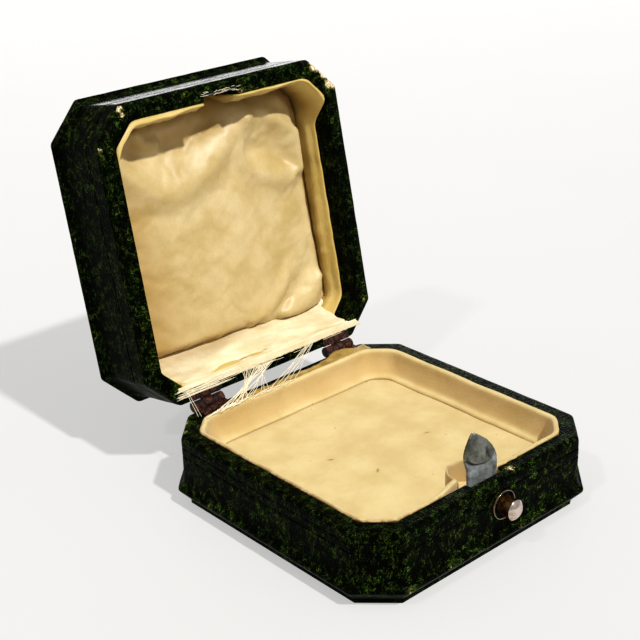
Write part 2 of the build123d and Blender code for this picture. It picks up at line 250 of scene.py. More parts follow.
# ---------------------------------------------------------------- materials
class Shader:
    """A Principled material with short calls for its nodes; positions are object coordinates."""

    def __init__(self, name, **fixed):
        self.material = bpy.data.materials.new(name)
        self.material.use_nodes = True
        self.tree = self.material.node_tree
        self.bsdf = self.tree.nodes["Principled BSDF"]
        coordinates = self.tree.nodes.new("ShaderNodeTexCoord")
        scaled = self.tree.nodes.new("ShaderNodeVectorMath")
        scaled.operation = "SCALE"
        scaled.inputs["Scale"].default_value = 1 / MM
        self.tree.links.new(coordinates.outputs["Object"], scaled.inputs[0])
        self.place = scaled.outputs[0]
        for socket, value in fixed.items():
            self.bsdf.inputs[socket.replace("_", " ")].default_value = value

    def put(self, socket, value):
        if isinstance(value, bpy.types.NodeSocket):
            self.tree.links.new(value, socket)
        else:
            socket.default_value = value

    def noise(self, size, detail=4.0, rough=0.55, where=None, distort=0.0):
        node = self.tree.nodes.new("ShaderNodeTexNoise")
        self.put(node.inputs["Vector"], where or self.place)
        node.inputs["Scale"].default_value = 1 / size
        node.inputs["Detail"].default_value = detail
        node.inputs["Roughness"].default_value = rough
        node.inputs["Distortion"].default_value = distort
        return node.outputs["Fac"]

    def cells(self, size, feature="F1", where=None):
        node = self.tree.nodes.new("ShaderNodeTexVoronoi")
        node.feature = feature
        self.put(node.inputs["Vector"], where or self.place)
        node.inputs["Scale"].default_value = 1 / size
        return node.outputs["Distance"]

    def stretch(self, x, y, z, turn=(0, 0, 0)):
        node = self.tree.nodes.new("ShaderNodeMapping")
        self.put(node.inputs["Vector"], self.place)
        node.inputs["Scale"].default_value = (x, y, z)
        node.inputs["Rotation"].default_value = turn
        return node.outputs["Vector"]

    def warped(self, size, amount):
        """Positions pushed about by noise, so that cells and bands look natural."""
        cloud = self.tree.nodes.new("ShaderNodeTexNoise")
        self.put(cloud.inputs["Vector"], self.place)
        cloud.inputs["Scale"].default_value = 1 / size
        push = self.tree.nodes.new("ShaderNodeVectorMath")
        push.operation = "MULTIPLY_ADD"
        self.put(push.inputs[0], cloud.outputs["Color"])
        push.inputs[1].default_value = (amount,) * 3
        self.put(push.inputs[2], self.place)
        return push.outputs[0]

    def waves(self, size, direction="X", distort=0.0, where=None):
        node = self.tree.nodes.new("ShaderNodeTexWave")
        node.bands_direction = direction
        self.put(node.inputs["Vector"], where or self.place)
        node.inputs["Scale"].default_value = 0.314 / size
        node.inputs["Distortion"].default_value = distort
        node.inputs["Detail"].default_value = 2
        return node.outputs["Fac"]

    def span(self, value, low, high, to_low=0.0, to_high=1.0):
        """Smooth step of value from low..high to to_low..to_high."""
        node = self.tree.nodes.new("ShaderNodeMapRange")
        node.interpolation_type = "SMOOTHSTEP"
        for name, number in zip(("Value", "From Min", "From Max", "To Min", "To Max"),
                                (value, low, high, to_low, to_high)):
            self.put(node.inputs[name], number)
        return node.outputs["Result"]

    def sums(self, operation, first, second):
        node = self.tree.nodes.new("ShaderNodeMath")
        node.operation = operation
        self.put(node.inputs[0], first)
        self.put(node.inputs[1], second)
        return node.outputs[0]

    def mix(self, factor, first, second):
        node = self.tree.nodes.new("ShaderNodeMix")
        node.data_type = "RGBA"
        self.put(node.inputs["Factor"], factor)
        sockets = [socket for socket in node.inputs if socket.type == "RGBA"]
        for socket, colour in zip(sockets, (first, second)):
            value = colour if isinstance(colour, bpy.types.NodeSocket) else (*colour, 1)
            self.put(socket, value)
        return next(socket for socket in node.outputs if socket.type == "RGBA")

    def value(self, name):
        node = self.tree.nodes.new("ShaderNodeAttribute")
        node.attribute_name = name
        return node.outputs["Fac"]

    def bump(self, height, distance, strength):
        node = self.tree.nodes.new("ShaderNodeBump")
        node.inputs["Strength"].default_value = strength
        node.inputs["Distance"].default_value = distance * MM
        self.put(node.inputs["Height"], height)
        return node.outputs["Normal"]

    def finish(self, colour, rough=None, normal=None):
        self.put(self.bsdf.inputs["Base Color"], colour)
        if rough is not None:
            self.put(self.bsdf.inputs["Roughness"], rough)
        if normal is not None:
            self.put(self.bsdf.inputs["Normal"], normal)
        return self.material


def leather_material(name, depth):
    """Black-green grained leather: fine yellow-green hairlines in patches, cream where worn and where
    glints on an edge are painted in as bare leather.
    """
    s = Shader(name, Specular_IOR_Level=0.018)
    patches = s.noise(2.2, 5, 0.62)
    ground = s.mix(s.span(patches, 0.4, 0.75), (0.0004, 0.0009, 0.0004), (0.0018, 0.0050, 0.0012))
    colour = ground
    grain_layers = ((0.50, 0.014, (0.062, 0.108, 0.014), (1.0, 0.22, 0.22), (0.4, 0.5, 0.6)),
                    (0.46, 0.015, (0.100, 0.165, 0.020), (0.20, 1.0, 0.26), (-0.3, 0.2, 0.4)))
    for size, width, tint, stretched, turned in grain_layers:
        field = s.noise(size, 3, 0.6, s.stretch(*stretched, turned), 0.8)
        off_line = s.sums("ABSOLUTE", s.sums("SUBTRACT", field, 0.5), 0.0)
        dashes = s.span(s.noise(size * 2.4, 2, 0.5), 0.44, 0.54)
        strokes = s.sums("MULTIPLY", s.span(off_line, width, 0.0), dashes)
        strokes = s.sums("MULTIPLY", strokes, s.span(patches, 0.38, 0.66, 0.16, 1.0))
        colour = s.mix(strokes, colour, tint)
    glints = s.sums("MULTIPLY", s.span(s.cells(0.9), 0.13, 0.07), s.span(patches, 0.5, 0.66))
    colour = s.mix(glints, colour, (0.09, 0.13, 0.03))
    worn_and_glints = s.sums("ADD", s.value("wear_and_glints"), s.sums("MULTIPLY", s.noise(0.45, 5, 0.72), 0.95))
    rim_strokes = s.span(s.noise(0.34, 4, 0.65, s.stretch(0.5, 1, 1, (0.2, 0.3, 0.8)), 1.0),
                         0.56, 0.64)
    lively = s.sums("MULTIPLY", rim_strokes, s.span(worn_and_glints, 0.68, 0.92))
    colour = s.mix(lively, colour, (0.050, 0.095, 0.014))
    colour = s.mix(s.span(worn_and_glints, 1.06, 1.16), colour, (0.11, 0.095, 0.03))
    # bare pale leather: real wear, and on the lid's left-front cut corner a painted highlight
    bare = s.mix(s.span(s.noise(0.3, 4), 0.35, 0.65), (0.30, 0.18, 0.07), (0.85, 0.76, 0.52))
    colour = s.mix(s.span(worn_and_glints, 1.19, 1.25), colour, bare)
    pebbles = s.cells(0.42, "F1", s.warped(0.9, 0.5))
    height = s.sums("ADD", s.span(pebbles, 0.6, 0.05),
                    s.sums("MULTIPLY", s.noise(0.16, 3, 0.6), 0.5))
    height = s.sums("MULTIPLY", height, s.span(s.value("polish"), 0.0, 1.0, 1.0, 0.12))
    rough = s.span(s.noise(1.3, 5, 0.6), 0.3, 0.75, 0.30, 0.46)
    rough = s.sums("MULTIPLY", rough, s.span(s.value("polish"), 0.0, 1.0, 1.0, 0.62))
    return s.finish(colour, rough, s.bump(height, depth, 0.9))


def plush_material():
    """Cream cotton plush: short nap, faint dark specks, painted tan shade on its walls and in its
    crevices, and brown stains that are partly painted shade beside the leather.
    """
    s = Shader("cream_plush", Roughness=0.9, Specular_IOR_Level=0.15, Sheen_Weight=0.25,
               Sheen_Roughness=0.5)
    nap = s.noise(0.14, 4, 0.7, s.stretch(1, 0.45, 1, (0, 0, 0.6)))
    clouds = s.noise(7.0, 4, 0.55)
    base = s.mix(s.span(clouds, 0.3, 0.7), (0.535, 0.412, 0.185), (0.625, 0.510, 0.262))
    base = s.mix(s.span(nap, 0.3, 0.7), s.mix(0.12, base, (0.34, 0.23, 0.09)), base)
    flecks = s.span(s.noise(0.3, 2, 0.5, s.stretch(1.4, 0.8, 1, (0, 0, 0.5))), 0.70, 0.76)
    base = s.mix(s.sums("MULTIPLY", flecks, 0.45), base, (0.25, 0.22, 0.09))
    dots = s.sums("MULTIPLY", s.span(s.cells(2.4), 0.085, 0.05), s.span(clouds, 0.5, 0.6))
    base = s.mix(s.sums("MULTIPLY", dots, 0.7), base, (0.10, 0.06, 0.03))
    base = s.mix(s.value("speck"), base, (0.13, 0.04, 0.015))
    # painted shade: the tan attribute darkens the plush where less light falls, on the lining's walls
    # and in its crevices
    base = s.mix(s.value("tan_and_painted_shade"), base, (0.42, 0.26, 0.10))
    # brown from the stain attribute: real staining, partly painted shade in the gap beside the
    # leather
    stain_and_painted_shade = s.sums("MULTIPLY", s.value("stain_and_painted_shade"), s.span(s.noise(1.2, 4), 0.25, 0.6))
    colour = s.mix(stain_and_painted_shade, base, (0.13, 0.055, 0.014))
    height = s.sums("ADD", nap, s.sums("MULTIPLY", s.noise(0.5, 3), 1.4))
    return s.finish(colour, None, s.bump(height, 0.05, 0.7))


def satin_material(name, smooth_to, deep, light):
    """Champagne satin: fine ribs, a soft gloss, painted tan shade in its hollows, folds and shadowed
    parts, and brown staining that is partly painted shade in creases.
    """
    s = Shader(name, Roughness=0.38, Specular_IOR_Level=0.42, Sheen_Weight=0.08,
               Sheen_Roughness=0.35, Anisotropic=0.35)
    ribs = s.waves(0.16, "X", 0.6, s.warped(2.0, 0.3))
    threads = s.noise(0.12, 3, 0.6, s.stretch(1.0, 0.2, 0.2))
    clouds = s.noise(6.0, 4, 0.5)
    base = s.mix(s.span(clouds, 0.3, 0.72), deep, light)
    base = s.mix(s.span(threads, 0.35, 0.65), s.mix(0.16, base, (0.30, 0.19, 0.06)), base)
    # painted shade: the tan attribute mixes in a deep gold where the satin lies in shadow or in a
    # hollow
    base = s.mix(s.value("tan_and_painted_shade"), base, (0.34, 0.20, 0.045))
    # brown from the stain attribute: real staining on the torn cloth, painted shade in the pad's deep
    # edges and along the gusset's slit
    stain_and_crease_shade = s.sums("MULTIPLY", s.value("stain_and_painted_shade"), s.span(s.noise(1.6, 4), 0.2, 0.6))
    colour = s.mix(stain_and_crease_shade, base, (0.17, 0.095, 0.015))
    height = s.sums("ADD", s.sums("MULTIPLY", ribs, 0.6), threads)
    rough = s.span(s.noise(1.5, 4), 0.3, 0.7, 0.35, smooth_to)
    return s.finish(colour, rough, s.bump(height, 0.022, 0.6))


def metal_material(name, bright, dark, tarnish, rough_span, size, metallic=1.0, pits=0.05,
                   seams=0.0):
    """Old metal: bright and dark patches, tarnish that follows the noise, pits, black seams, and
    black painted shade where a piece's attribute asks for it.
    """
    s = Shader(name, Metallic=metallic)
    blotch = s.noise(size, 5, 0.65)
    grain = s.noise(size / 6, 4, 0.7)
    colour = s.mix(s.span(blotch, 0.35, 0.65), dark, bright)
    colour = s.mix(s.span(grain, 0.52, 0.72), colour, tarnish)
    if seams:
        gaps = s.span(s.cells(seams, "DISTANCE_TO_EDGE", s.warped(1.5, 0.3)), 0.16, 0.05)
        colour = s.mix(gaps, colour, (0.004, 0.002, 0.002))
    # painted shade: black where the attribute read here says, under the catch's nose, in its dimple
    # and inside the eyelet's cup
    black = s.mix(s.value("painted_shade_and_tone"), colour, (0.002, 0.002, 0.002))
    rough = s.span(blotch, 0.3, 0.7, *rough_span)
    height = s.sums("ADD", grain, s.sums("MULTIPLY", blotch, 1.5))
    return s.finish(black, rough, s.bump(height, pits, 0.8))


def plain_fibre_material(name, light, dark, size, rough):
    """Card and raw wood: streaks of two close colours."""
    s = Shader(name, Roughness=rough, Specular_IOR_Level=0.25)
    streak = s.noise(size, 5, 0.6, s.stretch(0.2, 1, 1))
    return s.finish(s.mix(s.span(streak, 0.3, 0.7), dark, light), None,
                    s.bump(streak, 0.04, 0.6))


def thread_material():
    s = Shader("silk_thread", Roughness=0.5, Specular_IOR_Level=0.5, Sheen_Weight=0.3)
    twist = s.noise(0.25, 3)
    return s.finish(s.mix(twist, (0.74, 0.63, 0.40), (0.92, 0.85, 0.66)), None,
                    s.bump(twist, 0.02, 0.5))


LEATHER_SKIN = leather_material("green_grained_leather", 0.06)
PANEL_SKIN = leather_material("panel_grained_leather", 0.05)
PLUSH = plush_material()
SATIN = satin_material("champagne_satin", 0.45, (0.49, 0.370, 0.160), (0.61, 0.490, 0.265))
# a second copy of the satin, deeper and more golden, standing in for the shade inside the lid's
# walls; the torn hinge cloth uses it too
SATIN_WALL_GOLDEN_SHADE = satin_material("satin_wall_golden_shade", 0.50, (0.56, 0.415, 0.125), (0.64, 0.495, 0.190))
GUSSET_SATIN = satin_material("gusset_satin", 0.44, (0.68, 0.58, 0.36), (0.80, 0.72, 0.52))
THREAD = thread_material()
WOOD = plain_fibre_material("carcass_beech", (0.42, 0.27, 0.13), (0.28, 0.16, 0.07), 0.8, 0.75)
CARD = plain_fibre_material("pulp_card", (0.55, 0.44, 0.26), (0.40, 0.30, 0.16), 0.5, 0.9)
RUST = metal_material("corroded_brass", (0.125, 0.026, 0.010), (0.014, 0.005, 0.004),
                      (0.20, 0.075, 0.028), (0.35, 0.7), 0.9, 0.3, 0.25, 1.5)
NOSE = metal_material("nose_steel", (0.25, 0.26, 0.22), (0.10, 0.105, 0.085),
                      (0.055, 0.06, 0.05), (0.26, 0.42), 2.4, 0.9, 0.03)
STEEL = metal_material("catch_steel", (0.30, 0.325, 0.335), (0.15, 0.16, 0.155),
                       (0.07, 0.075, 0.07), (0.34, 0.5), 1.4, 0.35, 0.06)
BRASS = metal_material("button_brass", (0.30, 0.16, 0.06), (0.12, 0.055, 0.02),
                       (0.05, 0.03, 0.02), (0.25, 0.5), 1.4, 1.0, 0.04)
BRIGHT = metal_material("button_steel", (0.72, 0.61, 0.54), (0.40, 0.27, 0.19),
                        (0.30, 0.20, 0.14), (0.08, 0.2), 2.6, 1.0, 0.02)


# ---------------------------------------------------------------- camera, floor and lights
def add_camera():
    data = bpy.data.cameras.new("camera")
    data.lens = 76.69
    data.sensor_width = 36
    camera = bpy.data.objects.new("camera", data)
    bpy.context.scene.collection.objects.link(camera)
    around, above, roll = -0.72048, 0.41795, -0.034528
    back = Vector((math.sin(around) * math.cos(above), -math.cos(around) * math.cos(above),
                   math.sin(above)))
    right = (-back).cross(Vector((0, 0, 1))).normalized()
    up = back.cross(right)
    turned_right = right * math.cos(roll) + up * math.sin(roll)
    turned_up = up * math.cos(roll) - right * math.sin(roll)
    frame_axes = Matrix((turned_right, turned_up, back)).transposed().to_4x4()
    camera.matrix_world = Matrix.Translation(Vector((-145.60, -151.38, 127.12)) * MM) @ frame_axes
    data.clip_start = 0.01
    data.clip_end = 20
    bpy.context.scene.camera = camera


def add_sun(name, toward, strength, width, colour, glossy=True):
    data = bpy.data.lights.new(name, "SUN")
    data.energy = strength
    data.angle = math.radians(width)
    data.color = colour
    sun = bpy.data.objects.new(name, data)
    bpy.context.scene.collection.objects.link(sun)
    sun.rotation_mode = "QUATERNION"
    sun.rotation_quaternion = Vector(toward).to_track_quat("Z", "Y")
    sun.visible_glossy = glossy


def add_backdrop_glow():
    """White backdrop behind the box, low and to the right, that only glossy surfaces show."""
    data = bpy.data.lights.new("backdrop", "AREA")
    data.shape = "RECTANGLE"
    data.size, data.size_y = 1.3, 0.22
    data.energy = 5.0 * math.pi * data.size * data.size_y
    card = bpy.data.objects.new("backdrop", data)
    bpy.context.scene.collection.objects.link(card)
    away = Vector((0.62, 0.78, 0.0))
    card.location = 1.5 * away + Vector((0, 0, 0.14))
    card.rotation_mode = "QUATERNION"
    card.rotation_quaternion = away.to_track_quat("Z", "Y")
    card.visible_camera = False
    card.visible_diffuse = False
    card.visible_shadow = False


def add_stage():
    s = Shader("pale_floor", Roughness=0.6, Specular_IOR_Level=0.2)
    s.bsdf.inputs["Emission Color"].default_value = (1, 0.995, 0.985, 1)
    s.bsdf.inputs["Emission Strength"].default_value = 0.385
    material = s.finish(s.mix(s.noise(60, 3), (0.275, 0.274, 0.273), (0.29, 0.289, 0.288)))
    size = 2500
    corners = [(-size, -size, 0), (size, -size, 0), (size, size, 0), (-size, size, 0)]
    floor = build("floor", corners, [(0, 1, 2, 3)], material, None)
    floor.location.z = -0.02 * MM
    world = bpy.data.worlds.new("studio")
    world.use_nodes = True
    world.node_tree.nodes["Background"].inputs["Color"].default_value = (1, 0.995, 0.98, 1)
    world.node_tree.nodes["Background"].inputs["Strength"].default_value = 0.40
    bpy.context.scene.world = world
    view = bpy.context.scene.view_settings
    view.view_transform = "Standard"
    view.look = "Medium High Contrast"
    add_sun("key", (0.0, -0.78, 1), 3.1, 2.6, (1, 0.985, 0.95))
    add_sun("side", (-0.80, -0.09, 1), 0.56, 3.5, (1, 0.99, 0.97), False)
    add_backdrop_glow()


add_camera()
add_stage()


# ---------------------------------------------------------------- leather
def leather_rows(height, creases):
    """Section of the leather from the well over the rim and down to the panel, and back inside."""
    limit, back_limit = -SLOT_DEPTH, -SLOT_DEPTH + LEATHER
    inside = -RIM_WIDTH
    rows = [(inside, height - 0.15), (inside + 0.05, height - 0.05), (inside + 0.2, height)]
    rows += [(-RIM_WIDTH + 0.35 + 0.32 * k, height) for k in range(6)]
    for step in range(7):
        turn = math.radians(15 * step)
        rows.append((0.9 * (math.sin(turn) - 1), height - 0.9 * (1 - math.cos(turn))))
    level = height - 0.9
    marks = []
    for crease in creases:
        middle = height - crease
        marks += [(middle + 0.34, 0.015), (middle + 0.16, 0.0), (middle + 0.05, -0.13),
                  (middle - 0.05, -0.13), (middle - 0.16, 0.0), (middle - 0.34, 0.015)]
    step = level - 0.55
    while step > 5.9:
        if all(abs(step - mark) > 0.42 for mark, _ in marks):
            marks.append((step, 0.0))
        step -= 0.55
    rows += [(out, mark) for mark, out in sorted(marks, reverse=True)]
    for k in range(9):
        turn = math.radians(90 - 11 * k)
        rows.append((1.1 - 1.1 * math.sin(turn) + 0.02, 5.7 - 2.2 * math.cos(turn)))
    rows += [(1.06, 3.47), (1.11, 3.36), (1.12, 3.2), (1.10, 3.02), (0.98, 2.84)]
    rows += [(0.98 - 0.38 * k, 2.84 - 0.43 * k) for k in range(1, 5)]
    rows += [(-0.95, 0.68), (-1.5, 0.66)]
    outer = [(offset, at, limit) for offset, at in rows]
    returned = [(-1.5, 1.1), (-0.75, 1.25), (0.3, 2.75), (0.4, 3.3), (0.0, 3.6), (-0.5, 5.5),
                (-0.5, height - 1.1), (-0.9, height - LEATHER), (-RIM_WIDTH + 0.45, height - 0.5)]
    tail = [(offset, at, back_limit) for offset, at in returned]
    return outer, tail


def wear_and_glint_at(point, spots):
    """How worn the leather is at a closed or base point, from the given (place, radius, amount); at
    the lid's painted glint spots it is how strong the painted highlight is.
    """
    total = 0.0
    for place, radius, amount in spots:
        total = max(total, amount * bell((point - Vector(place)).length, radius))
    return total


def leather_shape(seed):
    def shape(point, offset, height):
        swell = 0.05 * fuzz(point, 3.5, seed) + 0.02 * fuzz(point, 1.1, seed)
        flat = Vector((point.x, point.y, 0)).normalized()
        return point + flat * swell + Vector((0, 0, 0.25 * swell))
    return shape


def make_leather(name, node, height, creases, spots, body, lid):
    outer, tail = leather_rows(height, creases)
    if lid:
        wall = [(-RIM_WIDTH, height - 0.3 - 0.6 * k, -SLOT_DEPTH) for k in range(8)]
        outer = wall[::-1] + outer
        tail += [(-RIM_WIDTH + 0.3, height - LINING_DEPTH, -SLOT_DEPTH + 0.3)]
    verts, faces = sweep(outer + tail, 1.3, leather_shape(3.0 if lid else 7.0))
    edge, polish = [], []
    for point in verts:
        low = bell(point.z - 3.2, 0.35)
        rim = 0.20 * smooth(height - 0.9, height - 0.1, point.z)
        edge.append(wear_and_glint_at(point, spots) + 0.36 * low * smooth(0.1, 0.6, fuzz(point, 4, 9))
                    + rim + 0.1 * fuzz(point, 2.2, 5))
        front = smooth(1.5 - HALF_DEPTH, -0.5 - HALF_DEPTH, point.y) if lid else 0.0
        polish.append(front * smooth(height - 0.2, height - 0.9, point.z))
    if lid:
        verts = [Vector((v.x, v.y, LID_TOP - v.z)) for v in verts]
        faces = [face[::-1] for face in faces]
    place = OPEN if lid else None
    piece = build(name, verts, faces, LEATHER_SKIN, body, place, {"wear_and_glints": edge, "polish": polish})
    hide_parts(node)
    return piece


BASE_SPOTS = [
    ((-23.5, 25.5, 13.4), 1.6, 0.66), ((-25.5, 22.5, 13.4), 1.0, 0.6),
    ((-27.5, 13, 3.2), 1.3, 0.78), ((-27.8, 10, 3.2), 0.9, 0.72),
    ((-21, -28.2, 3.2), 1.0, 0.74), ((-12, -28.3, 3.3), 0.9, 0.74), ((5, -28.3, 3.3), 1.0, 0.7),
    ((-21.5, -27.3, 12.4), 0.5, 0.8), ((4.9, -25.9, 13.4), 1.3, 0.60),
    ((3.4, -27.2, 12.2), 0.7, 0.6), ((26.8, -20, 12.8), 0.8, 0.5),
    ((-3.1, -27.3, 11.2), 0.35, 0.95),
]
# Rubbed and chipped places on the lid, as (place, radius, amount); the small strong spots round the
# left-front cut corner are painted highlights, not wear
LID_WEAR_AND_GLINT_SPOTS = [
    ((26.2, -22.2, 16.9), 1.6, 0.95), ((22.3, -26.1, 16.9), 1.5, 0.93),
    ((24.2, -24.2, 16.9), 1.3, 0.88), ((25.0, -22.0, 17.3), 1.2, 0.80),
    # painted highlights: these three lines are glints round the left-front cut corner, drawn as bare
    # pale leather
    ((-21.9, -26.9, 16.9), 1.0, 0.97), ((-21.4, -25.4, 17.3), 0.6, 0.85),
    ((-24.3, -24.6, 16.9), 0.55, 0.92), ((-25.4, -23.6, 16.9), 0.5, 0.9),
    ((-26.9, -20.5, 16.6), 0.7, 0.92), ((-26.7, -18.6, 16.8), 0.6, 0.72),
    ((25.6, 18.5, 17.3), 1.2, 0.56), ((25.2, 21, 17.3), 0.7, 0.6),
    ((0, -25.4, 17.3), 1.8, 0.40), ((4.5, -24.6, 17.3), 1.6, 0.45),
    ((-25.6, 22.6, 0.9), 0.8, 0.75), ((-26.5, 8.0, 3.3), 0.7, 0.7),
]
make_leather("base_leather", "base_cover", RIM, (2.2, 3.8), BASE_SPOTS, "base", False)
make_leather("lid_leather", "lid_cover", LID_HEIGHT, (1.1, 4.6), LID_WEAR_AND_GLINT_SPOTS, "lid", True)


# ---------------------------------------------------------------- base lining and floor
def slot_gap(points):
    """The ring's points from the slot's right edge round to its left edge."""
    inside = [k for k, point in enumerate(points) if in_slot(point)]
    first, last = inside[0], inside[-1]
    return points[last + 1:] + points[:first]


def open_sweep(rows, radius, shape):
    """Skin along the ring, open at the slot, with closed ends."""
    loops = []
    for offset, height in rows:
        points = slot_gap(ring(offset, radius, SLOT_STOPS))
        loops.append([shape(Vector((p.x, p.y, height)), k / (len(points) - 1), offset)
                      for k, p in enumerate(points)])
    count, total = len(loops[0]), len(loops)
    verts = [point for loop in loops for point in loop]
    faces = []
    for row in range(total):
        faces += quads(row_of(row, count), row_of((row + 1) % total, count), closed=False)
    faces.append(tuple(row * count for row in range(total)))
    faces.append(tuple(row * count + count - 1 for row in range(total))[::-1])
    return verts, faces


LOOSE_END = 1.7            # how far the lining's end left of the catch has come away


def make_base_lining():
    top = RIM
    rows = [(-3.1, 7.0), (-3.1, 10.0), (-3.1, 12.6), (-3.06, top - 0.1), (-3.12, top + 0.12),
            (-3.3, top + 0.2), (-3.55, top + 0.22), (-3.8, top + 0.14), (-3.98, top - 0.05),
            (-4.05, top - 0.4), (-4.1, top - 1.0), (-4.25, top - 1.7), (-4.45, top - 2.4),
            (-4.7, top - 3.1), (-4.95, top - 3.7), (-5.2, 9.45), (-5.4, 9.28), (-5.7, 9.2),
            (-6.0, 9.08), (-6.2, 8.85), (-6.25, 8.6), (-6.0, 8.2), (-5.2, 7.4)]

    def shape(point, along, offset):
        inward = Vector((point.x, point.y, 0)).normalized()
        low = smooth(11.0, 9.0, point.z)
        wave = 0.16 * fuzz(point, 5, 1) + 0.06 * fuzz(point, 1.6, 2)
        back = smooth(14, 20, point.y)
        wave += low * (0.35 * fuzz(point, 9, 4) - 0.35 * back)
        lift = 0.05 * fuzz(point, 2.0, 6) * smooth(12, 13.4, point.z)
        lift += 0.25 * low * back
        bent = Vector((0, 0, 0))
        if point.y < -20 and point.x < TONGUE_X:
            bent.y = LOOSE_END * smooth(-12.5, -3.6, point.x) ** 1.4
        elif point.y < -20 and point.x < 9:
            wave += 0.18 * math.sin(2.6 * point.x)
        return point + inward * wave + Vector((0, 0, lift)) + bent

    verts, faces = open_sweep(rows, 3.4, shape)
    stain_and_painted_shade, tan_and_painted_shade = [], []
    for point in verts:
        bottom = smooth(RIM + 0.22, RIM - 0.2, point.z)
        loose = point.y < -20 and abs(point.x - TONGUE_X) < 9 and point.x < TONGUE_X
        left = smooth(-10, -22, point.x)
        # on the outer side beside the leather: brown staining with painted shade in the gap between
        # lining and leather, strongest at the left, under an even painted tan shade
        if near_outer(point) and not loose:
            stain_and_painted_shade.append((0.7 + 0.4 * left) * bottom + 0.45 * left)
            tan_and_painted_shade.append(0.3)
        else:
            stain_and_painted_shade.append(0.08 * fuzz(point, 2, 1))
            # painted shade on the inner walls, which get less light than the floor; the roll's ridge
            # is left out so that it reads as lit, and the foot where it tucks into the floor is
            # darkened a little
            wall = smooth(RIM + 0.15, RIM - 0.7, point.z)
            ridge = bell(point.z - 9.2, 0.35)
            tan_and_painted_shade.append(0.56 * wall * (1 - ridge) + 0.25 * smooth(8.95, 8.6, point.z))
    piece = build("base_lining_plush", verts, faces, PLUSH, "base", None,
                  {"stain_and_painted_shade": stain_and_painted_shade, "tan_and_painted_shade": tan_and_painted_shade})
    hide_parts("base_lining_wall")


def near_outer(point):
    """True on the lining's outer side, next to the leather."""
    diagonal = (abs(point.x) + abs(point.y) - HALF_WIDTH - HALF_DEPTH + CORNER_CUT) / math.sqrt(2)
    reach = max(abs(point.x) - HALF_WIDTH, abs(point.y) - HALF_DEPTH, diagonal)
    return reach > -RIM_WIDTH - 0.3


FLOOR_SPECKS = [(-8.9, 3.0, 0.5, 1.6), (9.8, -2.1, 0.5, 1.0), (17.2, 21.0, 0.45, 1.0),
                (-5.4, -5.3, 0.4, 1.0)]


def make_base_floor():
    """Padded plush floor: a soft crown with a lower line just inside its edge."""
    outline = ring(-4.9, 3.0, SLOT_STOPS)
    steps = 34
    verts, faces = [], []
    for step in range(steps):
        share = 1 - (step / steps) ** 1.15
        for p in outline:
            x, y = p.x * share, p.y * share
            edge = (1 - share) * 22
            z = FLOOR_TOP - 0.55 * bell(edge, 1.4) + 0.12 * smooth(2, 14, edge)
            z += 0.10 * fuzz((x, y, 0), 7, 3) + 0.035 * fuzz((x, y, 0), 2.2, 8)
            verts.append(Vector((x, y, z)))
    count = len(outline)
    for row in range(steps - 1):
        faces += quads(row_of(row, count), row_of(row + 1, count))
    faces.append(tuple((steps - 1) * count + k for k in range(count)))
    under = len(verts)
    verts += [Vector((p.x, p.y, 6.25)) for p in outline]
    faces += quads(range(under, under + count), range(count))
    faces.append(tuple(under + k for k in range(count))[::-1])
    specks = []
    for v in verts:
        near = min(math.hypot(v.x - x, (v.y - y) * stretch) / size
                   for x, y, size, stretch in FLOOR_SPECKS)
        specks.append(0.85 * smooth(1.0, 0.4, near))
    piece = build("base_floor_plush", verts, faces, PLUSH, "base", None, {"speck": specks})
    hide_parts("base_floor_pad")


def thick_sheet(point_at, columns, rows, push):
    """Two layers of a grid, point_at(u, v) and the same pushed, joined round the border."""
    verts, faces = [], []
    for side in (0, 1):
        for row in range(rows + 1):
            for k in range(columns + 1):
                verts.append(point_at(k / columns, row / rows) + push * side)
    width = columns + 1
    layer = width * (rows + 1)
    for row in range(rows):
        for k in range(columns):
            a = row * width + k
            faces.append((a, a + width, a + width + 1, a + 1))
            faces.append((layer + a + 1, layer + a + width + 1, layer + a + width, layer + a))
    border = list(range(width)) + [r * width + columns for r in range(1, rows + 1)]
    border += [rows * width + k for k in range(columns - 1, -1, -1)]
    border += [r * width for r in range(rows - 1, 0, -1)]
    for a, b in zip(border, border[1:] + border[:1]):
        faces.append((a, b, layer + b, layer + a))
    return verts, faces


def along_line(line, t):
    """Point at share t of a polyline's length, with its corners rounded a little."""
    spans = [(Vector(b) - Vector(a)).length for a, b in zip(line, line[1:])]

    def at(share):
        left = clamp(share, 0, 1) * sum(spans)
        for (a, b), span in zip(zip(line, line[1:]), spans):
            if left <= span:
                return Vector(a).lerp(Vector(b), left / span)
            left -= span
        return Vector(line[-1])
    return sum((at(t + step * 0.04) for step in (-1, 0, 1)), Vector((0, 0))) / 3


def make_catch_pocket():
    """The lining goes round behind the catch as a low, creased pocket."""
    path = [(-4.3, -22.9), (-3.8, -21.8), (-3.7, -20.4), (-2.3, -18.6), (-0.5, -16.9),
            (1.0, -17.3), (2.4, -18.2), (3.9, -20.2), (4.2, -22.8)]

    def point_at(u, v):
        flat = along_line(path, u)
        top = 13.4 - 0.9 * bell(u - 0.5, 0.16) - 0.12 * math.sin(14 * u)
        z = 8.4 + (top - 8.4) * v
        sway = 0.16 * math.sin(3 * v + 9 * u)
        return Vector((flat.x + sway, flat.y - 0.5 * sway, z))

    verts, faces = thick_sheet(point_at, 60, 12, Vector((0.0, 0.32, 0)))
    # painted shade: the pocket is tan all over, behind the lip and under the catch, and lighter only
    # along its top edge
    tan_and_painted_shade = [0.62 - 0.42 * smooth(12.6, 13.3, v.z) for v in verts]
    piece = build("base_catch_pocket", verts, faces, PLUSH, "base", None, {"tan_and_painted_shade": tan_and_painted_shade})
    piece.visible_shadow = False


make_base_lining()
make_base_floor()
make_catch_pocket()


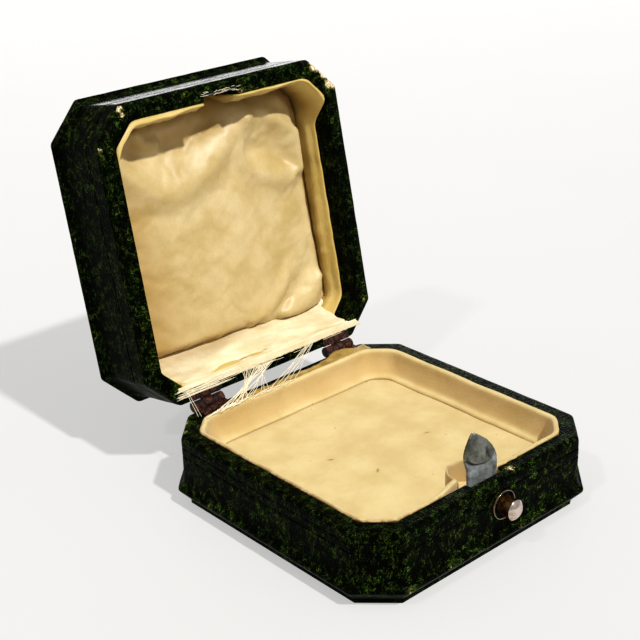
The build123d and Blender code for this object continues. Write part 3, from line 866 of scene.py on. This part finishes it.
# ---------------------------------------------------------------- lid lining and satin
def satin_depth(x, y):
    """How far the satin pad lies inside the lid's rim plane, at a closed-lid point."""
    ridges = [
        (1.6, 2.8, [(-20.5, -17), (-16.5, -11.9), (-12.6, -9.4), (-9, -9.0), (-5, -10.2),
                    (-1.9, -11.6), (1.3, -13.5), (5.2, -16.6), (7.8, -18.0)]),
        (-1.5, 3.0, [(-16.0, -17.6), (-9, -17.2), (-5, -17.2), (-1.5, -18.6), (2, -20)]),
        (1.2, 1.3, [(-15, -20.5), (-13.5, -18.4), (-11, -18.0)]),
        (1.2, 1.5, [(9, -19), (13.7, -18.4), (16.9, -16.7), (20.2, -14.3), (20.8, -11.1),
                    (20.2, -7.0)]),
        (-1.1, 2.4, [(10.0, -12.6), (14.6, -12.6), (17.4, -9.3)]),
        (0.9, 2.0, [(6.5, -12.5), (8.3, -8.8), (12.8, -6.4), (17.6, -5.6)]),
        (1.5, 2.0, [(11.5, 20.6), (15, 20.2), (18.4, 18.6), (20.6, 16.0)]),
        (-0.7, 0.9, [(10.0, 22.0), (15, 22.4), (20, 21.6)]),
        (0.7, 1.5, [(3.6, 19.8), (8, 17.4), (11.0, 15.2), (12.6, 12.8)]),
        (-0.6, 1.3, [(9, 19.9), (12.0, 17.6)]),
        (-0.8, 1.0, [(-20, 20.6), (-14.9, 20.4), (-5.5, 20.3), (4.7, 20.8)]),
        (0.35, 1.4, [(-17.5, 12), (-16.5, 0), (-17.2, -8)]),
        (1.0, 0.75, [(21.0, -14), (21.3, 0), (21.2, 15)]),
        (-0.7, 0.7, [(22.3, -15), (22.5, 0), (22.4, 16)]),
    ]
    right = HALF_WIDTH - 3.2 - x
    left = HALF_WIDTH - 3.2 + x
    front = HALF_DEPTH - 3.2 + y
    back = 21.9 + 0.05 * x - y
    corner = (HALF_WIDTH + HALF_DEPTH - CORNER_CUT - 4.5 - abs(x) + min(y, 0)) / math.sqrt(2)
    edge = min(left, front, corner)
    depth = 10.4 - 2.6 * smooth(-0.2, 4.2, edge) ** 0.8
    depth += 1.7 * smooth(3.6, 2.0, right) * smooth(-21, -14, y)
    depth += 1.9 * smooth(2.6, 0.0, back)
    depth += 0.5 * math.cos(x / 9.5) * -0.9 * math.cos(y / 13)
    for amount, width, line in ridges:
        depth -= amount * bell(near_line((x, y), line), width)
    busy = smooth(10, 18, math.hypot(x, y))
    return depth + (0.05 + 0.09 * busy) * fuzz((x, y, 0), 4.0, 2) \
        + 0.03 * busy * fuzz((x, y * 1.6, 0), 1.5, 5)


def satin_grid():
    """Grid over the pad, trimmed to the cut corners."""
    step = 0.5
    left, right, front, back = -23.7, 23.7, -24.0, 22.9
    columns = int((right - left) / step) + 1
    rows = int((back - front) / step) + 1
    limit = HALF_WIDTH + HALF_DEPTH - CORNER_CUT - 4.3
    points = []
    for j in range(rows):
        for i in range(columns):
            x, y = left + i * step, front + j * step
            over = abs(x) + abs(y) - limit
            inside = over <= 0
            if over > 0:
                x -= math.copysign(over / 2, x)
                y -= math.copysign(over / 2, y)
            points.append((x, y, inside, over))
    faces = []
    for j in range(rows - 1):
        for i in range(columns - 1):
            corners = (j * columns + i, j * columns + i + 1,
                       (j + 1) * columns + i + 1, (j + 1) * columns + i)
            if any(points[k][2] for k in corners):
                faces.append(corners)
    used = sorted({k for face in faces for k in face})
    renumber = {k: n for n, k in enumerate(used)}
    return [points[k][:2] for k in used], [tuple(renumber[k] for k in face) for face in faces]


def outline_of(faces):
    """Directed boundary edges of a sheet."""
    edges = {}
    for face in faces:
        for a, b in zip(face, face[1:] + face[:1]):
            edges[(a, b)] = True
    return [(a, b) for a, b in edges if (b, a) not in edges]


def close_pad(verts, faces, bottom):
    """Sides and a flat back for a pad's face; depth grows away from the viewer."""
    border = outline_of(faces)
    follow = dict(border)
    start = border[0][0]
    loop = [start]
    while follow[loop[-1]] != start:
        loop.append(follow[loop[-1]])
    base = len(verts)
    verts = verts + [Vector((verts[k].x, verts[k].y, bottom)) for k in loop]
    count = len(loop)
    for k in range(count):
        after = (k + 1) % count
        faces.append((loop[after], loop[k], base + k, base + after))
    faces.append(tuple(base + k for k in range(count)))
    return verts, faces


def relax_satin(piece):
    """Lets the pad's face settle as cloth under a light pressure; the border stays put."""
    mesh = piece.data
    scale = 20.0               # the cloth is worked out at about a metre across
    frames = 20
    before = [v.co.copy() for v in mesh.vertices]
    border = {k for edge in outline_of([tuple(p.vertices) for p in mesh.polygons]) for k in edge}
    pins = piece.vertex_groups.new(name="held")
    pins.add([v.index for v in mesh.vertices], 0.12, "REPLACE")
    pins.add(sorted(border), 1.0, "REPLACE")
    mesh.transform(Matrix.Scale(scale, 4))
    cloth = piece.modifiers.new("Cloth", "CLOTH")
    settings = cloth.settings
    settings.quality = 4
    settings.mass = 0.15
    settings.tension_stiffness = 12
    settings.compression_stiffness = 12
    settings.shear_stiffness = 4
    settings.bending_stiffness = 0.05
    settings.shrink_min = -0.014
    settings.vertex_group_mass = "held"
    settings.pin_stiffness = 0.6
    settings.use_pressure = True
    settings.uniform_pressure_force = 1.0
    settings.effector_weights.gravity = 0
    cloth.collision_settings.use_collision = False
    cloth.point_cache.frame_start = 1
    cloth.point_cache.frame_end = frames
    scene = bpy.context.scene
    for number in range(1, frames + 1):
        scene.frame_set(number)
    settled = piece.evaluated_get(bpy.context.evaluated_depsgraph_get())
    after = [v.co / scale for v in settled.data.vertices]
    piece.modifiers.remove(cloth)
    limit = 0.7 * MM
    for vertex, old, new in zip(mesh.vertices, before, after):
        move = new - old
        if move.length > limit:
            move *= limit / move.length
        vertex.co = old + move
    piece.vertex_groups.clear()
    scene.frame_set(1)


def make_satin_pad():
    flat, faces = satin_grid()
    verts = [Vector((x, y, LID_RIM + satin_depth(x, y))) for x, y in flat]
    faces = [face[::-1] for face in faces]
    stain_and_painted_shade, tan_and_painted_shade = [], []
    for v in verts:
        # painted shade: stain darkens the deepest parts along the walls; tan darkens the hollows, the
        # crease at the hinge side (bottom) and the band that lies in the lid front wall's shadow
        # (shaded), and also grows towards the left wall and the hinge side
        stain_and_painted_shade.append(0.35 * smooth(10.2, 12, v.z - LID_RIM) + 0.05 * fuzz(v, 3, 3))
        hollow = smooth(7.9, 10.2, v.z - LID_RIM)
        left_edge = smooth(-9, -19.5, v.x) * smooth(-16, -6, v.y)
        bottom = bell(v.y - 20.4, 1.3) * smooth(8, -2, v.x)
        shaded = smooth(-15.5, -18.5, v.y) * smooth(6.6, 8.8, v.z - LID_RIM)
        lower = 0.16 * smooth(-4, 16, v.y) * smooth(18, 8, v.x)
        tan_and_painted_shade.append(clamp(0.32 * hollow + 0.5 * left_edge + 0.35 * bottom + 0.5 * shaded + lower,
                         0, 0.85))
    face = build("settling", verts, faces, SATIN, None)
    relax_satin(face)
    settled = [v.co / MM for v in face.data.vertices]
    bpy.data.objects.remove(face)
    count = len(settled)
    verts, faces = close_pad(settled, faces, LID_TOP - 6.3)
    stain_and_painted_shade += [0.3] * (len(verts) - count)
    tan_and_painted_shade += [0.3] * (len(verts) - count)
    piece = build("lid_satin_puff", verts, faces, SATIN, "lid", OPEN,
                  {"stain_and_painted_shade": stain_and_painted_shade, "tan_and_painted_shade": tan_and_painted_shade})
    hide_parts("lid_satin_pad")


def lining_edge(point):
    """Depth of the lid lining's edge: at the rim in front, deeper along the right wall."""
    front = smooth(-14, -20, point.y)
    side_depth = LINING_DEPTH if point.x > 0 else 1.2
    return side_depth + (0.2 - side_depth) * front


def make_lid_lining():
    """Satin-covered wall round the pad, with a turned edge that bulges in at the front."""
    rows = [(-3.1, 0.0, 0.3), (-3.13, 0.0, 0.04), (-3.2, 0.0, -0.1), (-3.32, 0.0, -0.08),
            (-3.42, 0.0, 0.12), (-3.46, 0.06, 0.3), (-3.48, 0.15, 0.2), (-3.5, 0.27, 0),
            (-3.5, 0.4, 0), (-3.5, 0.55, 0), (-3.5, 0.7, 0), (-3.5, 0.85, 0), (-3.3, 1.0, 0),
            (-3.1, 1.05, 0), (-3.1, 0.6, 0)]
    bottom = LINING_DEPTH + 5.8

    def shape(point, along, offset):
        share = point.z
        edge = lining_edge(point)
        depth = edge + share * (bottom - edge)
        toward = -Vector((point.x, point.y, 0)).normalized()
        spot = Vector((point.x, point.y, depth))
        front = smooth(-16, -21, point.y)
        bulge = front * (0.6 * smooth(-4, -13, point.x) + 0.12 + 0.3 * fuzz((point.x, 0, 0), 5, 3))
        bulge += front * 1.1 * bell(share - 0.42, 0.28)
        bulge += 0.14 * fuzz(spot, 2.5, 2)
        pleat = fuzz((spot.x * 1.3, spot.y * 1.3, spot.z * 0.25), 1.3, 4)
        bulge += 0.25 * smooth(0, 0.4, share) * pleat
        if point.x > 18 and point.y > -18:
            fold = depth - 7.3 - 0.5 * math.sin(point.y / 9)
            bulge += 0.7 * bell(fold, 0.8) * smooth(-18, -12, point.y)
        if offset > -3.2:
            bulge = 0.0
        lift = 0.12 * fuzz(point, 1.8, 7) if share < 0.05 else 0.0
        return Vector((point.x, point.y, LID_RIM + depth + lift)) + toward * bulge

    def placed(point, along, offset):
        return shape(point, along, offset) + Vector((0, 0, extra_of[round(offset, 3)]))

    extra_of = {}
    flat_rows = []
    for number, (offset, share, extra) in enumerate(rows):
        key = offset - 0.001 * number
        extra_of[round(key, 3)] = extra
        flat_rows.append((key, share))
    verts, faces = open_sweep(flat_rows, 3.6, placed)
    tan_and_painted_shade = []
    for v in verts:
        depth = v.z - LID_RIM
        front = smooth(-15, -19, v.y)
        # painted shadow: tan along the front where the lid's front wall shades the lining, and
        # painted shade deep down along the other walls, over an even light tan tone
        tan_and_painted_shade.append(clamp(0.10 + 0.66 * front * smooth(1.2, 4.2, depth)
                         + 0.35 * (1 - front) * smooth(8.0, 10.0, depth), 0, 0.95))
    piece = build("lid_lining_satin", verts, [f[::-1] for f in faces], SATIN_WALL_GOLDEN_SHADE, "lid", OPEN,
                  {"tan_and_painted_shade": tan_and_painted_shade})
    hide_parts("lid_lining_wall")


def make_keeper_fray():
    """Short pale threads where the lining and leather are torn at the keeper's slot."""
    random.seed(23)
    parts = []
    for number in range(20):
        x = random.uniform(-3.2, 3.4)
        y = -HALF_DEPTH + random.uniform(1.3, 2.2)
        turn = random.uniform(-0.7, 0.7) + (math.pi if number % 2 else 0)
        length = random.uniform(0.7, 2.0)
        path = []
        for step in range(8):
            t = step / 7
            bend = turn + 1.2 * fuzz((number, 2 * t, 0), 1.0, 3)
            path.append(Vector((x + length * t * math.cos(bend),
                                y + 0.25 * length * t * math.sin(bend),
                                LID_RIM - 0.04 - 0.10 * math.sin(math.pi * t))))
        parts.append(tube(path, 0.035))
    verts, faces = bundle(parts)
    piece = build("keeper_fray", verts, faces, THREAD, "lid", OPEN)


make_satin_pad()
make_lid_lining()
make_keeper_fray()


# ---------------------------------------------------------------- gusset and threads
GUSSET_SECTION = [(20.3, 10.2), (20.9, 9.3), (21.5, 8.3), (22.1, 7.1), (22.6, 5.9), (23.0, 4.7),
                  (23.4, 3.5), (23.65, 2.4), (23.85, 1.4), (23.95, 0.7), (24.0, 0.2),
                  (24.1, -0.05), (24.4, -0.11), (24.8, -0.12), (25.2, -0.12), (25.6, -0.12)]


GUSSET_LEFT = -21.3
GUSSET_REACH = 43.6        # along the hinge side


def gusset_length(points):
    return sum((Vector(b) - Vector(a)).length for a, b in zip(points, points[1:]))


def gusset_point(u, v):
    """u runs along the hinge side, v down the sheet from under the pad to the torn edge."""
    place = v * (len(GUSSET_SECTION) - 1)
    index = min(int(place), len(GUSSET_SECTION) - 2)
    part = place - index
    low, high = Vector(GUSSET_SECTION[index]), Vector(GUSSET_SECTION[index + 1])
    y, depth = low.lerp(high, part)
    x = GUSSET_LEFT + GUSSET_REACH * u
    slant = smooth(0.75, 1.0, v)
    x += slant * (0.9 * (u > 0.5) * (2 * u - 1) - 0.4 * (1 - u))
    torn = 0.9 * smooth(0.35, 0.0, u) + 0.35 * (0.5 + 0.5 * fuzz((x, 0, 0), 0.7, 3))
    y -= torn * smooth(0.82, 1.0, v)
    inner = smooth(0.0, 0.15, v) * smooth(0.85, 0.6, v)
    fold = 0.55 * fuzz((x * 0.16, v * 6.5, 1), 1.0, 6) + 0.18 * fuzz((x * 0.4, v * 16, 2), 1.0, 2)
    slit = bell(v - 0.50 - 0.03 * math.sin(x / 5), 0.03) * smooth(-11, -7, x) * smooth(2, -2, x)
    fold -= 0.4 * slit
    depth -= inner * fold
    y -= inner * 0.5 * fold
    return Vector((x, y, LID_RIM + depth))


def make_gusset():
    thick = 0.06
    verts, faces = thick_sheet(gusset_point, 110, 48, Vector((0, 0.0, thick)))
    stain_and_painted_shade, tan_and_painted_shade = [], []
    for v in verts:
        lost = 0.9 * bell((v - Vector((-20.4, 23.4, LID_RIM + 0.9))).length, 0.85)
        depth = v.z - LID_RIM
        # painted shade: the slit is a dark line along the fold at mid-height
        slit = bell(depth - 1.9 + 0.3 * math.sin(v.x / 5), 0.11) * smooth(-10, -7, v.x) \
            * smooth(3, -1, v.x)
        stain_and_painted_shade.append(max(lost, 1.4 * slit) + 0.05 * fuzz(v, 2, 2))
        # painted shade: tan where the gusset runs in under the pad's edge, fading to the right
        tan_and_painted_shade.append(clamp(0.45 * smooth(5.5, 9, depth) * smooth(12, -4, v.x), 0, 0.6))
    sheet = build("gusset_satin", verts, faces, GUSSET_SATIN, "lid", OPEN,
                  {"stain_and_painted_shade": stain_and_painted_shade, "tan_and_painted_shade": tan_and_painted_shade})
    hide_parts("gusset_strip")
    return sheet


def torn_edge_threads():
    """Loose weft threads that lie along the torn edge, most of them at its left end."""
    random.seed(11)
    parts = []
    for k in range(44):
        long = k < 34
        start = random.uniform(-22.4, -19.0) if long else random.uniform(-8, 14)
        length = random.uniform(6, 19) if long else random.uniform(3, 7)
        y = 24.25 + 1.75 * (k / 33) ** 0.9 if long else random.uniform(25.0, 25.9)
        slope = random.uniform(-0.012, 0.012)
        path = []
        for step in range(24):
            t = step / 23
            x = start + length * t
            wave = 0.05 * fuzz((x, k * 3.1, 0), 1.6, 1) + 0.14 * fuzz((x, k * 1.7, 5), 5, 2)
            rise = -0.16 + 0.02 * fuzz((x, k, 3), 1.3, 4)
            path.append(Vector((x, y + wave + slope * length * t, LID_RIM + rise)))
        parts.append(tube(path, 0.036))
    verts, faces = bundle(parts)
    piece = build("torn_edge_threads", verts, faces, THREAD, "lid", OPEN)
    return piece


def bridge_threads():
    """Long threads still joining the lid's torn satin to the base's lining."""
    random.seed(4)
    sources = []
    for k in range(18):
        sources.append((-6.7 + 0.42 * k + random.uniform(-0.2, 0.2), 25.4, -9.5 - 0.42 * k, 0))
    for k in range(8):
        sources.append((-3.0 + 0.6 * k, 25.4, -4.6 - 1.2 * k, 1))
    for k in range(7):
        sources.append((9.0 + 0.3 * k, 25.3, -4.6 + 1.0 * k, 2))
    sources.append((-19.9, 24.5, -20.8, 3))
    sources.append((-19.7, 24.4, -20.3, 3))
    parts = []
    for number, (x_lid, y_lid, x_base, group) in enumerate(sources):
        top = OPEN @ Vector((x_lid, y_lid, LID_RIM - 0.05))
        low = Vector((x_base, 24.3 - 0.3 * (number % 3), RIM + 0.42))
        sag = {0: 0.6, 1: 0.5, 2: 0.35, 3: 0.05}[group] * random.uniform(0.7, 1.3)
        path = []
        for step in range(26):
            t = step / 25
            point = top.lerp(low, t)
            point.z -= sag * 4 * t * (1 - t) * 0.5
            wobble = 0.16 * 4 * t * (1 - t) if group != 3 else 0.02
            point.x += wobble * 3 * fuzz((t * 3, number, 0), 1.0, 2)
            point.y += wobble * 2 * fuzz((t * 3, number, 7), 1.0, 3)
            path.append(point)
        if group != 3:
            for step in range(1, 13):
                t = step / 12
                trail = Vector((x_base - (2.5 + 0.5 * (number % 5)) * t,
                                24.0 - 0.3 * (number % 3) - 0.5 * t,
                                RIM + 0.42 + 0.12 * math.sin(3 * t)))
                trail.y += 0.25 * fuzz((t * 4, number, 3), 1.0, 5)
                path.append(trail)
        parts.append(tube(path, 0.045 if group != 3 else 0.035))
    verts, faces = bundle(parts)
    piece = build("bridge_threads", verts, faces, THREAD, None)
    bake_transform(piece)
    return piece


def make_torn_strip():
    """Remains of the hinge cloth, curled along the base's back rim."""
    def point_at(u, v):
        x = -12.0 + 33.0 * u
        far = 25.4 + 0.5 * fuzz((x, 0, 0), 2.2, 5) + 0.25 * fuzz((x, 3, 0), 0.7, 5)
        far += 2.0 * bell(x - 15.0, 3.4)
        y = 23.6 + (far - 23.6) * v
        curl = 0.30 * smooth(0.6, 1.0, v) * (0.5 + 0.5 * fuzz((x, 7, 0), 2.5, 5))
        return Vector((x, y, RIM + 0.05 + curl + 0.03 * fuzz((x, y, 0), 1.2, 9)))

    verts, faces = thick_sheet(point_at, 80, 10, Vector((0, 0, 0.05)))
    piece = build("torn_hinge_cloth", verts, faces, SATIN_WALL_GOLDEN_SHADE, "base", None,
                  {"stain_and_painted_shade": [0.55 + 0.3 * fuzz(v, 2, 1) for v in verts],
                   "tan_and_painted_shade": [0.5] * len(verts)})


gusset = make_gusset()
edge_threads = torn_edge_threads()
bridging = bridge_threads()
make_torn_strip()
flat_width = gusset_length(GUSSET_SECTION) * MM


# ---------------------------------------------------------------- catch tongue and button
def on_curve(table, at):
    """Straight-line interpolation in a short list of (position, value) pairs."""
    for (a, low), (b, high) in zip(table, table[1:]):
        if at <= b:
            return low + (high - low) * clamp((at - a) / (b - a), 0, 1)
    return table[-1][1]


TONGUE_LEFT = [(5.2, -3.42), (15.6, -3.45), (16.4, -3.7), (17.2, -3.98), (18.7, -4.0),
               (20.0, -3.62), (21.1, -3.1), (21.7, -2.7), (22.0, -2.32)]
TONGUE_RIGHT = [(5.2, 3.42), (13.3, 3.42), (14.7, 3.4), (16.0, 3.35), (17.1, 3.0), (18.4, 2.2),
                (19.7, 1.1), (21.0, -0.5), (21.8, -1.6), (22.0, -2.28)]
NOSE_EDGE = [(-4.2, 17.9), (-3.5, 17.2), (-2.5, 16.6), (-1.0, 16.25), (0.2, 16.2), (1.2, 16.45),
             (1.85, 16.8), (3.0, 17.8), (4.0, 18.5)]
PLATE_FRONT, PLATE_BACK, BEND_Y, BEND_Z = -24.95, -24.25, -25.25, 4.2
PLATE_FOOT, TONGUE_TIP = 5.2, 22.0
REST_LEAN = 3              # degrees that the plate leans in at rest


def nose_height(x, z, share):
    """How far the domed nose stands in front of the plate; share runs across from the left."""
    over = z - on_curve(NOSE_EDGE, x)
    if over <= 0:
        return 0.0
    across = max(0.0, 1 - abs(2 * share - 0.86) ** 2.2)
    up = 1 - smooth(1.2, 6.0, over)
    dome = 0.95 * smooth(0, 0.16, over) * across ** 0.5 * (0.25 + 0.75 * up)
    dimple = 0.55 * bell(math.hypot(x - 0.55, (z - 17.9) * 0.8), 0.62)
    return dome - dimple * smooth(0.2, 0.6, over)


def make_tongue():
    """Steel plate with a domed, pointed nose, leaning on its spring."""
    rows, columns = 120, 34
    lean = (Matrix.Translation((0, BEND_Y, BEND_Z)) @ Matrix.Rotation(math.radians(REST_LEAN), 4, "X")
            .inverted() @ Matrix.Translation((0, -BEND_Y, -BEND_Z)))
    verts, loops = [], []
    for row in range(rows + 1):
        z = PLATE_FOOT + (TONGUE_TIP - PLATE_FOOT) * row / rows
        left, right = on_curve(TONGUE_LEFT, z), on_curve(TONGUE_RIGHT, z)
        loop = []
        thin = PLATE_BACK - 0.35 * smooth(18.0, 22.0, z)
        for k in range(columns + 1):
            share = 0.5 - 0.5 * math.cos(math.pi * k / columns)
            x = left + (right - left) * share
            rounding = 0.14 * (bell(share, 0.03) + bell(1 - share, 0.03))
            y = PLATE_FRONT + rounding - nose_height(x, z, share) + 0.012 * fuzz((x, 0, z), 0.8, 3)
            y += 0.12 * smooth(15, 13, z)
            loop.append(len(verts))
            verts.append(Vector((x, min(y, thin - 0.1), z)))
        for k in range(columns, -1, -2):
            x = left + (right - left) * k / columns
            loop.append(len(verts))
            verts.append(Vector((x, thin, z)))
        loops.append(loop)
    faces = []
    for lower, upper in zip(loops, loops[1:]):
        faces += quads(lower, upper)
    faces.append(tuple(loops[0])[::-1])
    faces.append(tuple(loops[-1]))
    # painted shadow and shade, black through the attribute: a band along the nose's lower edge where
    # it overhangs the plate, and a spot in the dimple
    painted_shade_and_tone = []
    for v in verts:
        over = v.z - on_curve(NOSE_EDGE, v.x)
        under = bell(over + 0.12, 0.26) * (v.y < PLATE_FRONT + 0.2)
        pit = 0.8 * bell(math.hypot(v.x - 0.6, (v.z - 17.85) * 0.8), 0.45)
        painted_shade_and_tone.append(clamp(0.9 * under + pit, 0, 1))
    steel = build("tongue_plate", verts, faces, STEEL, "tongue", lean, {"painted_shade_and_tone": painted_shade_and_tone})
    steel.data.materials.append(NOSE)
    for face in steel.data.polygons:
        middle = face.center / MM
        flat_z = middle.z - 0.15
        face.material_index = int(flat_z > on_curve(NOSE_EDGE, middle.x) and middle.y < -23.9)
    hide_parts("catch_tongue")
    steel.visible_shadow = False


def lathe(profile, centre, sides=64):
    """Closed ring skin turned about an axis along Y; the profile is (radius, y) pairs."""
    verts, faces = [], []
    for radius, y in profile:
        for k in range(sides):
            turn = 2 * math.pi * k / sides
            verts.append(Vector((centre[0] + radius * math.cos(turn), y,
                                 centre[1] + radius * math.sin(turn))))
    total = len(profile)
    for row in range(total):
        above = (row + 1) % total
        for k in range(sides):
            after = (k + 1) % sides
            faces.append((row * sides + k, above * sides + k,
                          above * sides + after, row * sides + after))
    return verts, faces


def make_eyelet():
    """Thin bright lip with a dark cup inside it, round the push button; the black inside the cup is
    painted shade.
    """
    low, high = cad("button_ferrule")
    centre = ((low.x + high.x) / 2, (low.z + high.z) / 2)
    wall, outer = -HALF_DEPTH, (high.x - low.x) / 2
    lip = low.y
    profile = [(outer, wall + 0.15), (outer, wall - 0.06), (outer - 0.06, lip + 0.04),
               (outer - 0.14, lip), (outer - 0.22, lip + 0.05), (outer - 0.3, wall + 0.1),
               (outer - 0.42, wall + 0.45), (outer - 0.52, wall + 0.8), (1.78, wall + 0.9),
               (1.78, wall + 1.2), (outer - 0.25, wall + 1.2), (outer - 0.2, wall + 0.4)]
    verts, faces = lathe(profile, centre)
    # painted shade: black inside the cup, behind the lip; elsewhere a noisy partial darkening of the
    # metal
    painted_shade_and_tone = [max(smooth(wall - 0.02, wall + 0.12, v.y), 0.35 + 0.5 * fuzz(v, 1.6, 2)) for v in verts]
    piece = build("button_eyelet", verts, faces, BRIGHT, "base", None, {"painted_shade_and_tone": painted_shade_and_tone})
    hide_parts("button_ferrule")


make_tongue()
make_eyelet()


# ---------------------------------------------------------------- carried-over CAD nodes
def finish_node(node, material, bevel=0.0):
    piece = frame["nodes"][node]
    piece.data.materials.clear()
    piece.data.materials.append(material)
    if bevel:
        soften = piece.modifiers.new("Bevel", "BEVEL")
        soften.width = bevel * MM
        soften.segments = 3
        soften.limit_method = "ANGLE"
        soften.angle_limit = math.radians(40)
        soften.harden_normals = False


for side_name in ("left", "right"):
    finish_node(f"hinge_{side_name}_base_leaf", RUST, 0.07)
    finish_node(f"hinge_{side_name}_lid_leaf", RUST, 0.07)
    finish_node(f"hinge_{side_name}_pin", RUST, 0.05)
for nails in ("base_hinge_nails", "lid_hinge_nails", "catch_nails"):
    finish_node(nails, RUST, 0.03)
for steel in ("tongue_rivets", "catch_spring", "catch_clamp", "keeper_plate"):
    finish_node(steel, STEEL, 0.03)
finish_node("button_barrel", BRASS, 0.06)
finish_node("button_stem", BRASS, 0.03)
finish_node("button_collar", BRASS, 0.04)
finish_node("button_cap", BRIGHT, 0.12)
for half_name in ("base", "lid"):
    finish_node(f"{half_name}_panel", PANEL_SKIN, 0.22)
    finish_node(f"{half_name}_frame", WOOD)
    finish_node(f"{half_name}_board", WOOD)
finish_node("base_floor_card", CARD)
finish_node("lid_pad_card", CARD)
